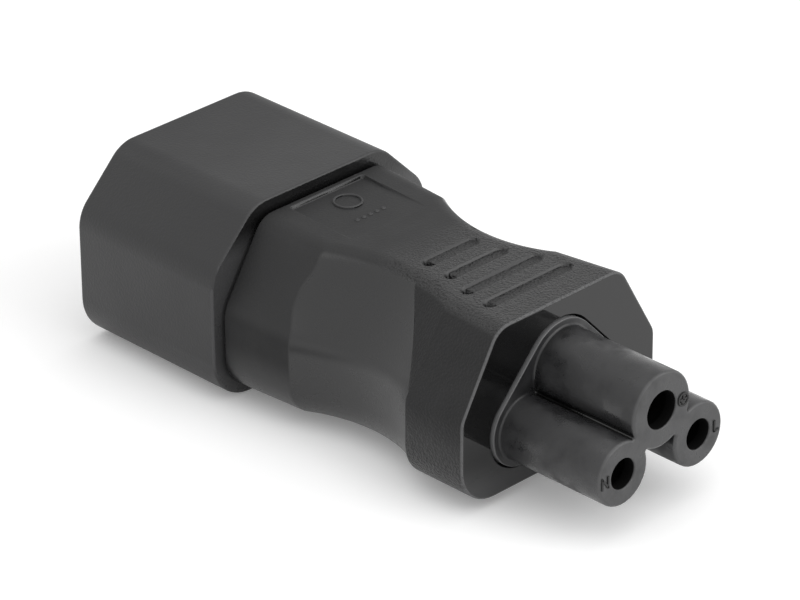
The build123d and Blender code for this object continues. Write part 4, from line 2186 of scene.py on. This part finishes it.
@dataclass
class Studio:
    """White floor, white surroundings, soft lamps and the camera."""

    aim: tuple[float, float, float] = (-3.586, -1.796, 12.838)
    distance: float = 439.67
    back: tuple[float, float, float] = (-0.61899, -0.62719, 0.47274)
    right: tuple[float, float, float] = (0.70916, -0.70501, -0.00678)
    up: tuple[float, float, float] = (0.33754, 0.33105, 0.88118)
    lens: float = 214.18
    sensor: float = 36.0
    sight: Span = (0.01, 20.0)
    world_strength: float = 0.68
    floor_colour: Colour = (0.95, 0.95, 0.95)
    floor_glow: float = 0.15
    floor_size: float = 1.6
    floor_gap: float = 0.00002
    floor_roughness: float = 0.9
    lamps: tuple[Lamp, ...] = (
        Lamp("front", (0.3, -0.65, 0.32), 0.7, 3.4),
        Lamp("top", (-0.1, -0.15, 0.8), 1.0, 2.6),
    )
    lamp_aim: tuple[float, float, float] = (0.0, 0.0, 0.01)

    def place_camera(self) -> None:
        """Place the camera where the photograph was taken."""
        data = bpy.data.cameras.new("camera")
        data.lens, data.sensor_width = self.lens, self.sensor
        data.clip_start, data.clip_end = self.sight
        camera = new_object("camera", data)
        turn = Matrix((self.right, self.up, self.back)).transposed().to_4x4()
        place = (Vector(self.aim) + Vector(self.back) * self.distance) * MM
        camera.matrix_world = Matrix.Translation(place) @ turn
        bpy.context.scene.camera = camera

    def seen_directly(self, sheet: Sheet) -> Value:
        """Mask of the rays that show a background: camera, glossy and transmission.

        Args:
            sheet: Sheet of the floor or of the world.

        Returns:
            The mask.
        """
        rays = sheet.add("ShaderNodeLightPath").outputs
        either = Value(sheet, rays["Is Camera Ray"]).most(Value(sheet, rays["Is Glossy Ray"]))
        return either.most(Value(sheet, rays["Is Transmission Ray"]))

    def light_world(self) -> None:
        """Make the surroundings plain white."""
        world = bpy.data.worlds.new("white_room")
        bpy.context.scene.world = world
        world.use_nodes = True
        sheet = Sheet(world.node_tree)
        strength = self.seen_directly(sheet).blend(self.world_strength, 1.0)
        ground = world.node_tree.nodes["Background"]
        sheet.fill(ground, {"Color": (1, 1, 1, 1), "Strength": strength})

    def lay_floor(self) -> None:
        """Lay the floor under the object; it keeps the object's shadow."""
        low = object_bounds()[0]
        mesh = bpy.data.meshes.new("floor")
        half, height = self.floor_size / 2, low[2] - self.floor_gap
        corners = [(-half, -half), (half, -half), (half, half), (-half, half)]
        mesh.from_pydata([(x, y, height) for x, y in corners], [], [(0, 1, 2, 3)])
        floor = new_object("floor", mesh)
        material = bpy.data.materials.new("white_floor")
        material.use_nodes = True
        sheet = Sheet(material.node_tree)
        sheet.fill(material.node_tree.nodes["Principled BSDF"], {
            "Base Color": rgba(self.floor_colour),
            "Roughness": self.floor_roughness,
            "Specular IOR Level": 0.0,
            "Emission Color": (1, 1, 1, 1),
            "Emission Strength": self.seen_directly(sheet) * self.floor_glow,
        })
        mesh.materials.append(material)
        floor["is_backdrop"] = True

    def hang_lamp(self, lamp: Lamp) -> None:
        """Hang a lamp that points at the adapter.

        Args:
            lamp: The lamp.
        """
        data = bpy.data.lights.new(lamp.name, "AREA")
        data.size, data.energy = lamp.size, lamp.power
        hung = new_object(lamp.name, data)
        away = Vector(lamp.place) - Vector(self.lamp_aim)
        turn = away.to_track_quat("Z", "Y").to_matrix().to_4x4()
        hung.matrix_world = Matrix.Translation(lamp.place) @ turn

    def build(self) -> None:
        """Set the whole studio up."""
        self.light_world()
        self.lay_floor()
        for lamp in self.lamps:
            self.hang_lamp(lamp)
        self.place_camera()
        bpy.context.scene.view_settings.view_transform = "Standard"
        log.info("studio ready")


def main() -> None:
    """Build the adapter's pieces in order, dress them and set up the studio."""
    logging.basicConfig(level=logging.INFO, format="%(message)s")
    nodes = frame["nodes"]
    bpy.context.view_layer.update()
    groups = Groups.build()
    shroud = ShroudHalf(nodes, groups)
    shroud.build()
    grip_vinyl = GripBody(nodes, groups, shroud).build().data.materials[0]
    relief = PanelRelief(nodes, groups)
    relief.build_ring(grip_vinyl)
    relief.build_domes(grip_vinyl)
    insert = NoseInsert(nodes, groups)
    insert.build()
    for mark in MARKS:
        insert.build_mark(mark)
    conductors = Conductors(nodes, groups)
    conductors.dress_nodes()
    conductors.build_jumpers()
    Studio().build()


if __name__ == "__main__":
    main()
